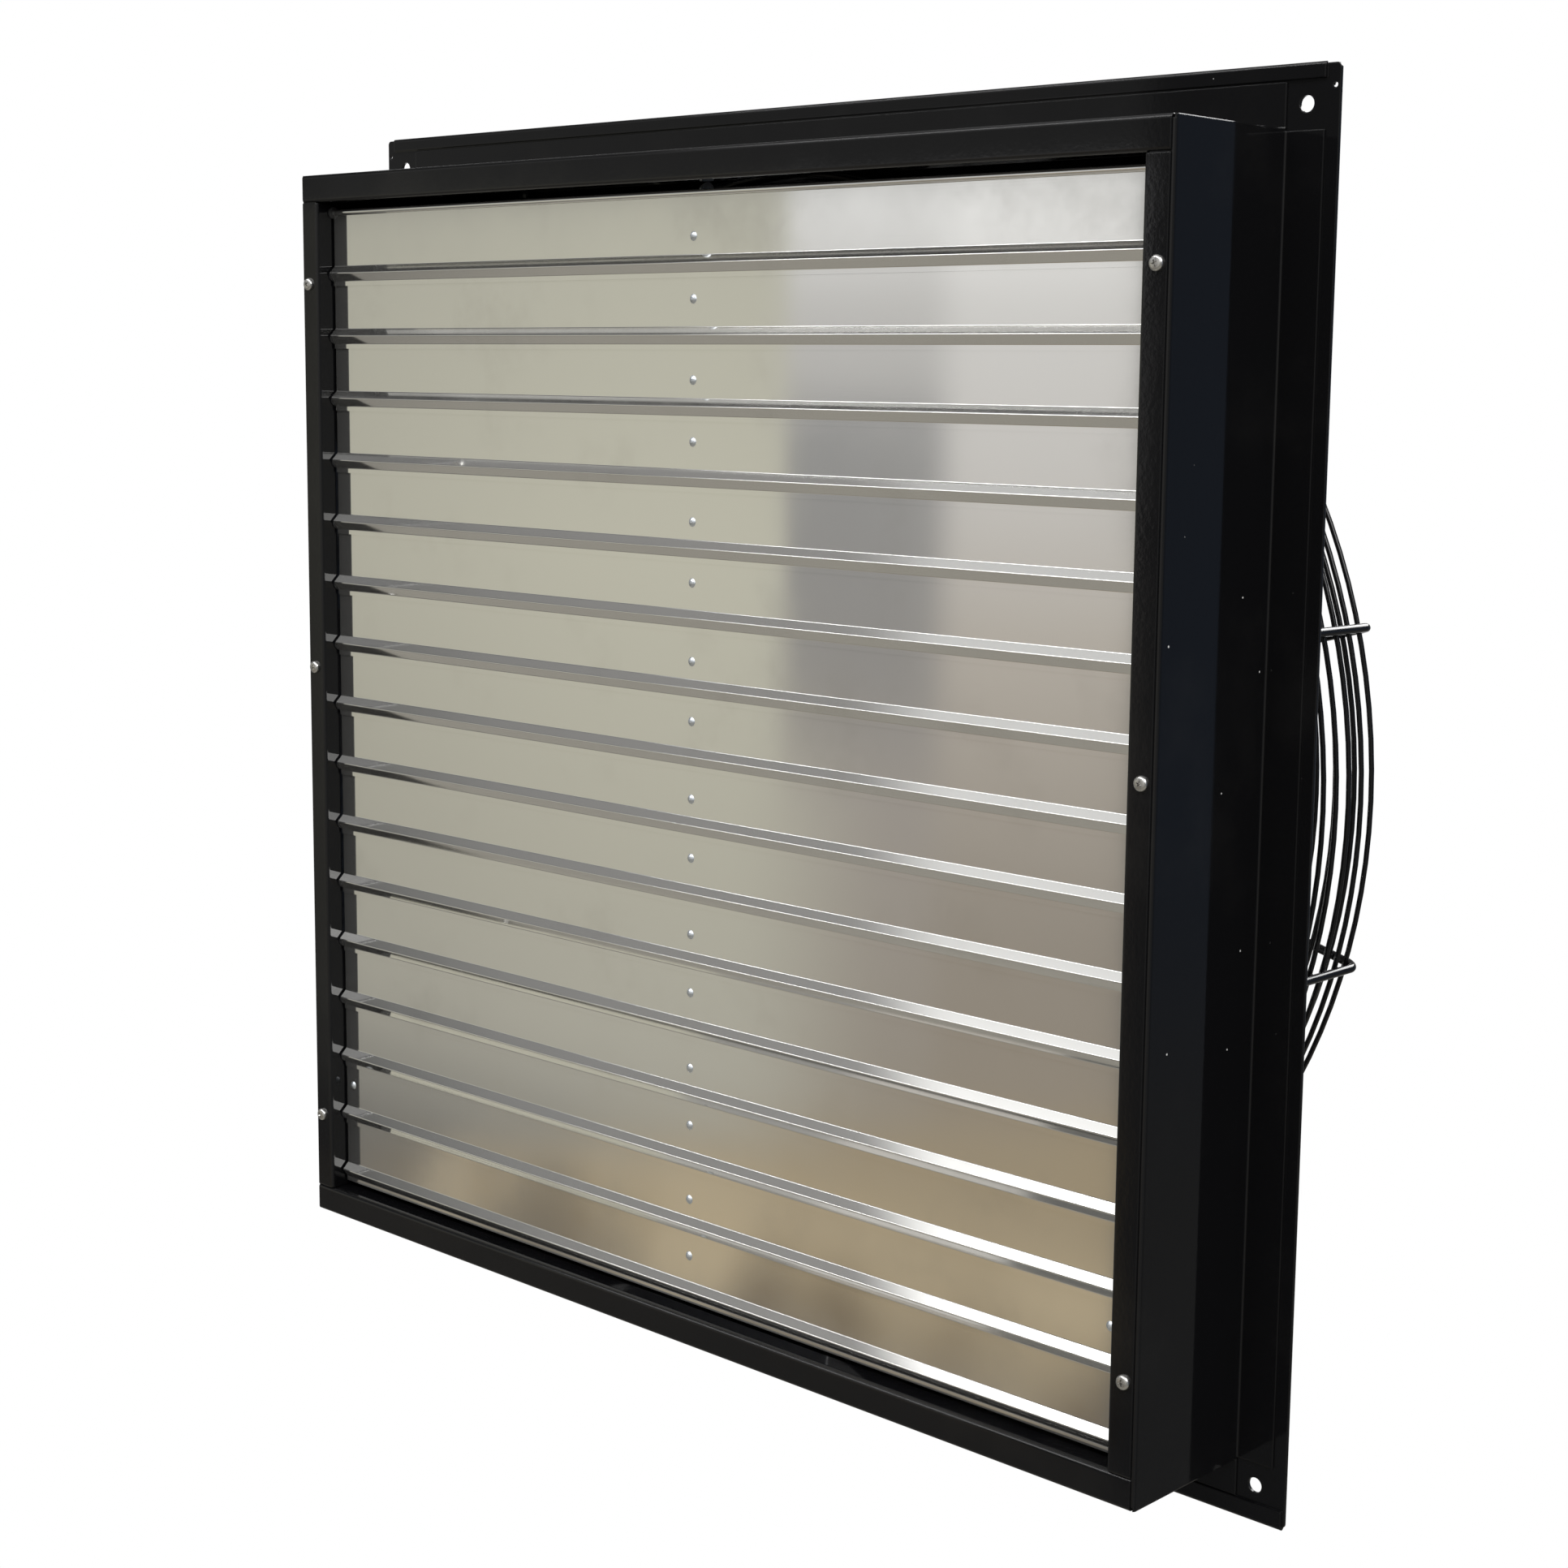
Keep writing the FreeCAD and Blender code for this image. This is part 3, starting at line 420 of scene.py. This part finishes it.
firstLouvre = foldLouvre(louvreSheet)
for number in range(louvreSheet["count"], 0, -1):
    drop = (0, 0, -louvreSheet["pitch"] * (number - 1))
    louvre = copied(firstLouvre, drop) if number > 1 else firstLouvre
    fitPiece(louvre, "louvreSheet_%02d" % number, "sheet", "leaf_%02d" % number, "bright_sheet",
             "louvre_%02d" % number)
print("louvres folded:", louvreSheet["count"])


# pan-head screws with a cross recess, three in each stile

stileScrew = {
    "across": 0.4105,
    "heights": (0.336, 0.033, -0.338),
    "head": (0.0049, 0.0030),
    "sides": 40,
    "crown": 0.0002,
    "crownRing": 0.0012,
    "round": (0.0021, 7),
    "shank": (0.0025, 0.010),
    "shankRound": (0.0005, 2),
    "recess": (0.0012, 0.0058, 0.0017),
    "recessTaper": (0.6, 0.45),
    "turns": (20, 65, 8, 40, 75, 30),
    "smooth": 40,
}


def turnScrew(look):
    radius, height = look["head"]
    shankRadius, shankLength = look["shank"]
    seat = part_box("stile_screws")[0][1] + height + look["crown"]
    x, z = look["across"], look["heights"][0]
    clearSelection()
    bpy.ops.mesh.primitive_cylinder_add(vertices=look["sides"], radius=radius, depth=height,
                                        location=(x, seat - height / 2, z), rotation=(math.pi / 2, 0, 0))
    screw = bpy.context.object
    bpy.ops.object.transform_apply(location=True, rotation=True, scale=True)
    bpy.ops.object.mode_set(mode="EDIT")
    choose("FACE", lambda spot: spot.y > seat - near)
    bpy.ops.mesh.inset(thickness=radius - shankRadius)
    bpy.ops.mesh.extrude_region_move(TRANSFORM_OT_translate={"value": (0, shankLength, 0)})
    width, steps = look["shankRound"]
    bpy.ops.mesh.bevel(offset=width, segments=steps, affect="EDGES")
    front = seat - height
    choose("FACE", lambda spot: spot.y < front + near)
    width, steps = look["round"]
    bpy.ops.mesh.bevel(offset=width, segments=steps, profile=0.5, affect="EDGES")
    choose("FACE", lambda spot: spot.y < front + near)
    bpy.ops.mesh.inset(thickness=look["crownRing"])
    bpy.ops.transform.translate(value=(0, -look["crown"], 0))
    closeSeams()
    # a tapered bit cuts the recess, once upright and once across
    wide, long, deep = look["recess"]
    taperWide, taperLong = look["recessTaper"]
    face = front - look["crown"]
    bpy.ops.object.select_all(action="DESELECT")
    bpy.ops.mesh.primitive_cube_add(size=2 * deep, location=(x, face, z))
    bit = bpy.context.object
    bpy.ops.object.transform_apply(location=True, rotation=True, scale=True)
    bpy.ops.object.mode_set(mode="EDIT")
    bpy.ops.mesh.select_all(action="SELECT")
    bpy.ops.transform.resize(value=(wide / (2 * deep), 1, long / (2 * deep)), center_override=(x, face, z))
    choose("FACE", lambda spot: spot.y > face + deep - near)
    bpy.ops.transform.resize(value=(taperWide, 1, taperLong), center_override=(x, face, z))
    bpy.ops.object.mode_set(mode="OBJECT")
    for quarter in range(2):
        applied(screw, "BOOLEAN", object=bit, operation="DIFFERENCE", solver="EXACT")
        only(bit)
        bpy.ops.transform.rotate(value=math.pi / 2, orient_axis="Y", center_override=(x, face, z))
        bpy.ops.object.transform_apply(location=True, rotation=True, scale=True)
    only(bit)
    bpy.ops.object.delete()
    smoothBends(screw, look["smooth"])
    return screw


firstScrew = turnScrew(stileScrew)
screwPlaces = [(side * stileScrew["across"], z) for side in (1, -1) for z in stileScrew["heights"]]
for number in range(len(screwPlaces), 0, -1):
    x, z = screwPlaces[number - 1]
    move = (x - stileScrew["across"], 0, z - stileScrew["heights"][0])
    screw = copied(firstScrew, move) if number > 1 else firstScrew
    only(screw)
    bpy.ops.transform.rotate(value=math.radians(stileScrew["turns"][number - 1]), orient_axis="Y",
                             center_override=(x, 0, z))
    bpy.ops.object.transform_apply(location=True, rotation=True, scale=True)
    fitPiece(screw, "stileScrew_%d" % number, "stainless", "frame", "stainless", "stile_screws")
print("screws turned:", len(screwPlaces))


# guard hoops of round wire, with a weld bead on every spoke

guardHoops = {
    "wire": 0.00175,
    "sides": 12,
    "steps": 132,
    "cornerHoop": (0.43106, 0.11126),
    "faceY": 0.1122,
    "faceRadius": 0.4320,
    "facePitch": 0.0144,
    "faceCount": 23,
    "sideRadius": 0.4320,
    "sidePitch": 0.0150,
    "sideCount": 6,
    "spokes": 12,
    "firstSpoke": 15.0,
    "bead": (0.0021, 0.0014),
    "beadSides": 8,
    "beadRound": 0.0004,
    "smooth": 50,
}


def bendHoop(radius, y, look):
    clearSelection()
    bpy.ops.mesh.primitive_circle_add(vertices=look["sides"], radius=look["wire"], location=(radius, y, 0))
    hoop = bpy.context.object
    bpy.ops.object.transform_apply(location=True, rotation=True, scale=True)
    bpy.ops.object.mode_set(mode="EDIT")
    bpy.ops.mesh.select_all(action="SELECT")
    bpy.ops.mesh.spin(steps=look["steps"], angle=2 * math.pi, center=(0, 0, 0), axis=(0, 1, 0))
    closeSeams()
    return hoop


def addBeads(spots, look):
    # a squat bead at each spot on one spoke, then the row repeated round the axis
    radius, depth = look["bead"]
    beads = []
    for x, y, lean in spots:
        bpy.ops.object.select_all(action="DESELECT")
        bpy.ops.mesh.primitive_cylinder_add(vertices=look["beadSides"], radius=radius, depth=depth,
                                            location=(x, y, 0), rotation=(math.pi / 2, 0, lean))
        bead = bpy.context.object
        bpy.ops.object.transform_apply(location=True, rotation=True, scale=True)
        beads.append(bead)
    for bead in beads:
        bead.select_set(True)
    bpy.context.view_layer.objects.active = beads[0]
    bpy.ops.object.join()
    row = bpy.context.object
    bpy.ops.object.mode_set(mode="EDIT")
    bpy.ops.mesh.select_mode(type="EDGE")
    bpy.ops.mesh.select_all(action="SELECT")
    bpy.ops.mesh.bevel(offset=look["beadRound"], segments=1, affect="EDGES")
    bpy.ops.mesh.select_all(action="SELECT")
    bpy.ops.transform.rotate(value=math.radians(look["firstSpoke"]), orient_axis="Y", center_override=(0, 0, 0))
    copies = look["spokes"] - 1
    bpy.ops.mesh.spin(steps=copies, angle=2 * math.pi * copies / look["spokes"], dupli=True,
                      center=(0, 0, 0), axis=(0, 1, 0))
    bpy.ops.mesh.select_all(action="SELECT")
    bpy.ops.mesh.normals_make_consistent(inside=False)
    bpy.ops.object.mode_set(mode="OBJECT")
    return row


def joined(pieces, look):
    clearSelection()
    for piece in pieces:
        piece.select_set(True)
    bpy.context.view_layer.objects.active = pieces[0]
    bpy.ops.object.join()
    only(pieces[0])
    bpy.ops.object.shade_smooth_by_angle(angle=math.radians(look["smooth"]))
    return pieces[0]


faceHoops = [guardHoops["cornerHoop"]]
for k in range(guardHoops["faceCount"]):
    faceHoops.append((guardHoops["faceRadius"] - (k + 1) * guardHoops["facePitch"], guardHoops["faceY"]))
sideHoops = []
for k in range(guardHoops["sideCount"]):
    sideHoops.append((guardHoops["sideRadius"], guardHoops["faceY"] - (k + 1) * guardHoops["sidePitch"]))
touch = guardHoops["wire"]
faceSpots = [(radius, y + touch, 0.0) for radius, y in faceHoops[1:]]
sideSpots = [(radius + touch, y, math.pi / 2) for radius, y in sideHoops]
facePieces = [bendHoop(*hoop, guardHoops) for hoop in faceHoops]
faceGuard = joined(facePieces + [addBeads(faceSpots, guardHoops)], guardHoops)
fitPiece(faceGuard, "guardFaceHoops", "wire", "frame", "black_wire", "guard_face_rings")
sidePieces = [bendHoop(*hoop, guardHoops) for hoop in sideHoops]
sideGuard = joined(sidePieces + [addBeads(sideSpots, guardHoops)], guardHoops)
fitPiece(sideGuard, "guardSideHoops", "wire", "frame", "black_wire", "guard_side_rings")
print("guard hoops bent:", len(faceHoops) + len(sideHoops))
clearSelection()


# the studio: white behind, a plain room for reflections, soft lamps and a floor

room = {
    # walls in front of the louvres: tones from low to high, edges from left to right
    "beigeWall": [(-0.51, (0.13, 0.125, 0.12)), (-0.40, (0.43, 0.415, 0.355)), (-0.28, (0.47, 0.455, 0.38)),
                  (-0.10, (0.55, 0.535, 0.445)), (0.10, (0.52, 0.51, 0.43))],
    "beigeFade": ((-1.42, -1.05), (0.86, 1.0)),
    "greyWall": [(-0.42, (0.29, 0.255, 0.205)), (-0.22, (0.34, 0.31, 0.28)), (-0.15, (0.275, 0.265, 0.255)),
                 (-0.02, (0.30, 0.30, 0.30)), (0.0, (0.51, 0.50, 0.49)), (0.045, (0.57, 0.56, 0.55)),
                 (0.09, (0.86, 0.86, 0.86))],
    "paleWall": [(-0.40, (0.28, 0.24, 0.19)), (-0.27, (0.30, 0.265, 0.222)), (-0.13, (0.48, 0.44, 0.39)),
                 (-0.05, (0.62, 0.60, 0.58)), (0.045, (0.70, 0.69, 0.68)), (0.09, (1.0, 1.0, 1.0))],
    "wallEdges": [(-0.978, -0.966), (-0.875, -0.845), (-0.7365, -0.7335)],
    "softEdge": (-1.02, -0.88),
    "softBelow": (-0.24, -0.17),
    "lintel": (0.25, 0.25, 0.24),
    "lintelAbove": (0.104, 0.114),
    "skyLeft": (0.50, 0.50, 0.49),
    "skyRight": (0.75, 0.75, 0.75),
    "skyEdge": (-0.735, -0.685),
    "skyAbove": (0.17, 0.24),
    "far": (0.10, 0.10, 0.098),
    "farLeft": ((-1.384, -1.392), (0.0, 0.45)),
    "rightWall": [(-0.55, (0.20, 0.185, 0.16)), (-0.30, (0.36, 0.345, 0.31)), (0.0, (0.52, 0.51, 0.48)),
                  (0.25, (0.66, 0.66, 0.65))],
    "rightEdge": (-0.58, -0.42),
    "rightDim": (0.25, 0.25, 0.24),
    "dimEdge": (0.45, 0.85),
    # the ground, with darker patches
    "ground": (0.467, 0.382, 0.249),
    "groundDark": (0.125, 0.09, 0.05),
    "groundSlope": 0.25,
    "groundBelow": (-0.160, -0.195),
    "groundNear": (0.20, 0.19, 0.17),
    "nearBelow": (-0.531, -0.539),
    "patchScale": 9.0,
    "patchEdge": (0.40, 0.62),
    "patchFade": ((-0.475, -0.505), (0.2, 1.0)),
    "patchLeast": ((-0.43, -0.46), (0.36, 0.0)),
    # behind the fan, and the floor
    "leftWall": (0.25, 0.25, 0.245),
    "behindCool": (0.085, 0.11, 0.155),
    "behindFloor": (0.12, 0.12, 0.117),
    "behindBelow": (-0.15, -0.32),
    "behindSide": (-0.05, 0.20),
    "behindFrom": (-0.12, 0.0),
    "floor": (0.30, 0.285, 0.25),
    "floorBelow": (-0.50, -0.60),
    # the ceiling, and two bright windows high in front
    "ceiling": [(-1.45, (0.05, 0.05, 0.049)), (-1.36, (0.13, 0.13, 0.127)), (-1.23, (0.205, 0.203, 0.20)),
                (-1.02, (0.25, 0.247, 0.243)), (-0.93, (0.27, 0.266, 0.262))],
    "ceilingLight": [(-2.2, 0.50), (-1.35, 0.65), (-0.85, 1.7), (-0.56, 1.7), (-0.47, 1.25), (-0.33, 0.80),
                     (-0.09, 0.56), (-0.01, 0.48), (0.05, 0.24)],
    "lightEdge": (-0.935, -0.855),
    "ceilingAbove": (0.24, 0.42),
    "windows": [
        {"tone": (8.0, 8.0, 8.0), "x": (-0.735, -0.685, 0.15, 0.25), "slope": (-1.20, -1.12, -0.88, -0.83)},
        {"tone": (5.0, 5.0, 5.0), "x": (0.50, 0.56, 0.90, 0.95), "slope": (-0.80, -0.74, -0.40, -0.35)},
    ],
    "windowAbove": (0.20, 0.25),
    # the white backdrop, as metal sees it
    "backdropFrom": (0.45, 0.55),
    "backdropSide": (-0.25, -0.35),
    "backdropBelow": (0.30, 0.24),
    "horizon": 0.05,  # keeps the divisions below away from zero
}


def toneRamp(tree, value, stops):
    low = stops[0][0]
    high = stops[-1][0]
    ramp = addNode(tree, "ShaderNodeValToRGB")
    elements = ramp.color_ramp.elements
    while len(elements) < len(stops):
        elements.new(0.5)
    for element, (place, tone) in zip(elements, stops):
        element.position = (place - low) / (high - low)
        element.color = (*tone, 1.0) if isinstance(tone, tuple) else (tone, tone, tone, 1.0)
    join(tree, remap(tree, value, low, high, 0.0, 1.0, smooth=False), ramp.inputs["Fac"])
    return ramp.outputs["Color"]


def fade(tree, value, span, ends=(0.0, 1.0)):
    return remap(tree, value, *span, *ends)


def buildRoom(look):
    world = bpy.data.worlds.new("studioRoom")
    bpy.context.scene.world = world
    world.use_nodes = True
    tree = world.node_tree
    background = tree.nodes["Background"]
    direction = addNode(tree, "ShaderNodeTexCoord")
    parts = addNode(tree, "ShaderNodeSeparateXYZ")
    join(tree, direction.outputs["Generated"], parts.inputs["Vector"])
    x, y, z = parts.outputs["X"], parts.outputs["Y"], parts.outputs["Z"]

    # the walls in front of the louvres, with sky above
    ahead = calc(tree, "MAXIMUM", calc(tree, "MULTIPLY", y, -1.0), look["horizon"])
    across = calc(tree, "DIVIDE", x, ahead)
    rise = calc(tree, "DIVIDE", z, ahead)
    firstEdge, secondEdge, thirdEdge = [fade(tree, across, edge) for edge in look["wallEdges"]]
    softEdge = fade(tree, across, look["softEdge"])
    firstEdge = mixed(tree, fade(tree, rise, look["softBelow"]), softEdge, firstEdge)
    beigeTone = toneRamp(tree, rise, look["beigeWall"])
    walls = mixed(tree, fade(tree, across, *look["beigeFade"]), (0.0, 0.0, 0.0), beigeTone)
    walls = mixed(tree, firstEdge, walls, toneRamp(tree, rise, look["greyWall"]))
    walls = mixed(tree, secondEdge, walls, toneRamp(tree, rise, look["paleWall"]))
    walls = mixed(tree, fade(tree, rise, look["lintelAbove"]), walls, look["lintel"])
    skyTone = mixed(tree, fade(tree, x, look["skyEdge"]), look["skyLeft"], look["skyRight"])
    walls = mixed(tree, fade(tree, rise, look["skyAbove"]), walls, skyTone)

    # tan ground with darker patches, higher on the right
    spread = addNode(tree, "ShaderNodeCombineXYZ")
    join(tree, across, spread.inputs["X"])
    join(tree, rise, spread.inputs["Y"])
    patches = addNode(tree, "ShaderNodeTexNoise", {"Scale": look["patchScale"], "Detail": 1.5})
    join(tree, spread.outputs["Vector"], patches.inputs["Vector"])
    patch = fade(tree, patches.outputs["Fac"], look["patchEdge"])
    patch = calc(tree, "MULTIPLY", patch, fade(tree, rise, *look["patchFade"]))
    patch = calc(tree, "MAXIMUM", patch, fade(tree, rise, *look["patchLeast"]))
    ground = mixed(tree, patch, look["ground"], look["groundDark"])
    groundLine = calc(tree, "SUBTRACT", rise, calc(tree, "MULTIPLY", across, look["groundSlope"]))
    walls = mixed(tree, fade(tree, groundLine, look["groundBelow"]), walls, ground)
    walls = mixed(tree, fade(tree, rise, look["nearBelow"]), walls, look["groundNear"])

    # dimmer at the far left and right of the third edge, then a pale wall
    walls = mixed(tree, fade(tree, across, *look["farLeft"]), walls, look["far"])
    rightTone = toneRamp(tree, rise, look["rightWall"])
    rightTone = mixed(tree, fade(tree, across, look["dimEdge"]), rightTone, look["rightDim"])
    farTone = mixed(tree, fade(tree, across, look["rightEdge"]), look["far"], rightTone)
    walls = mixed(tree, thirdEdge, walls, farTone)

    # behind the fan, and the floor
    behind = mixed(tree, fade(tree, z, look["behindBelow"]), look["behindCool"], look["behindFloor"])
    behind = mixed(tree, fade(tree, x, look["behindSide"]), look["leftWall"], behind)
    tones = mixed(tree, fade(tree, y, look["behindFrom"]), walls, behind)
    tones = mixed(tree, fade(tree, z, look["floorBelow"]), tones, look["floor"])

    # the ceiling, bright to the right
    above = calc(tree, "MAXIMUM", z, look["horizon"])
    sideways = calc(tree, "DIVIDE", x, above)
    forwards = calc(tree, "DIVIDE", y, above)
    lit = mixed(tree, fade(tree, sideways, look["lightEdge"]),
                toneRamp(tree, sideways, look["ceiling"]), toneRamp(tree, forwards, look["ceilingLight"]))
    tones = mixed(tree, fade(tree, z, look["ceilingAbove"]), tones, lit)

    # the windows
    for window in look["windows"]:
        pane = fade(tree, z, look["windowAbove"])
        for value, (start, full, dim, end) in ((x, window["x"]), (forwards, window["slope"])):
            pane = calc(tree, "MULTIPLY", pane, fade(tree, value, (start, full)))
            pane = calc(tree, "MULTIPLY", pane, fade(tree, value, (dim, end), (1.0, 0.0)))
        tones = mixed(tree, pane, tones, window["tone"])

    # the white backdrop: to the eye all round, and in metal and glass where it stands
    path = addNode(tree, "ShaderNodeLightPath")
    mirrored = calc(tree, "MAXIMUM", path.outputs["Is Glossy Ray"], path.outputs["Is Transmission Ray"])
    backdrop = fade(tree, y, look["backdropFrom"])
    backdrop = calc(tree, "MULTIPLY", backdrop, fade(tree, x, look["backdropSide"]))
    backdrop = calc(tree, "MULTIPLY", backdrop, fade(tree, z, look["backdropBelow"]))
    white = calc(tree, "MAXIMUM", path.outputs["Is Camera Ray"], calc(tree, "MULTIPLY", mirrored, backdrop))
    join(tree, mixed(tree, white, tones, (1.0, 1.0, 1.0)), background.inputs["Color"])
    background.inputs["Strength"].default_value = 1.0


lamps = {
    "rightBox": {"place": (2.0, -0.35, 1.6), "aim": (-0.2, -0.1, -0.1), "size": (1.0, 1.4), "watts": 15.0},
    "frontFill": {"place": (1.9, -2.4, 1.6), "aim": (0.0, 0.0, 0.0), "size": (1.2, 1.2), "watts": 6.0},
    "backFill": {"place": (0.6, 2.4, 1.8), "aim": (0.0, 0.1, 0.0), "size": (1.6, 1.6), "watts": 75.0},
}


def addLamp(name, look):
    bpy.ops.object.select_all(action="DESELECT")
    bpy.ops.object.light_add(type="AREA", location=look["place"])
    lamp = bpy.context.object
    lamp.name = name
    lamp.data.shape = "RECTANGLE"
    lamp.data.size, lamp.data.size_y = look["size"]
    lamp.data.energy = look["watts"]
    aim = Vector(look["aim"]) - Vector(look["place"])
    lamp.rotation_euler = aim.to_track_quat("-Z", "Y").to_euler()
    lamp.visible_camera = False
    return lamp


floorLook = {
    "height": -1.25,
    "radius": 1.2,
    "sides": 96,
    "colour": (0.86, 0.85, 0.83),
    "roughness": 0.9,
    "cameraWhite": 0.85,  # the rest shows the shadow
}


def addFloor(look):
    bpy.ops.object.select_all(action="DESELECT")
    bpy.ops.mesh.primitive_circle_add(vertices=look["sides"], radius=look["radius"], fill_type="NGON",
                                      location=(0, 0, look["height"]))
    floor = bpy.context.object
    floor.name = "studioFloor"
    material, tree, shader = freshMaterial("paleFloor")
    shader.inputs["Base Color"].default_value = (*look["colour"], 1.0)
    shader.inputs["Roughness"].default_value = look["roughness"]
    glow = addNode(tree, "ShaderNodeEmission")
    path = addNode(tree, "ShaderNodeLightPath")
    share = calc(tree, "MULTIPLY", path.outputs["Is Camera Ray"], look["cameraWhite"])
    blend = addNode(tree, "ShaderNodeMixShader")
    join(tree, share, blend.inputs["Fac"])
    join(tree, shader.outputs["BSDF"], blend.inputs[1])
    join(tree, glow.outputs["Emission"], blend.inputs[2])
    join(tree, blend.outputs["Shader"], tree.nodes["Material Output"].inputs["Surface"])
    floor.data.materials.append(material)
    floor.visible_glossy = False
    return floor


buildRoom(room)
for name, look in lamps.items():
    addLamp(name, look)
addFloor(floorLook)
bpy.context.scene.view_settings.view_transform = "Standard"
print("studio lit")


# the camera stands where the photograph was taken

photoCamera = {
    "place": (1.29567, -1.32876, 0.26388),
    "right": (0.7417, 0.6706, 0.0150),
    "ahead": (-0.6622, 0.7356, -0.1427),
    "sensor": 36.0,
    "lens": 58.68,
    "shift": (-0.0614, -0.0191),
}


def addCamera(look):
    bpy.ops.object.select_all(action="DESELECT")
    bpy.ops.object.camera_add()
    camera = bpy.context.object
    camera.name = "photoCamera"
    camera.data.sensor_width = look["sensor"]
    camera.data.lens = look["lens"]
    camera.data.shift_x, camera.data.shift_y = look["shift"]
    ahead = Vector(look["ahead"]).normalized()
    up = Vector(look["right"]).cross(ahead).normalized()
    right = ahead.cross(up)
    turn = Matrix((right, up, -ahead)).transposed().to_4x4()
    camera.matrix_world = Matrix.Translation(look["place"]) @ turn
    bpy.context.scene.camera = camera
    return camera


addCamera(photoCamera)
print("camera placed")
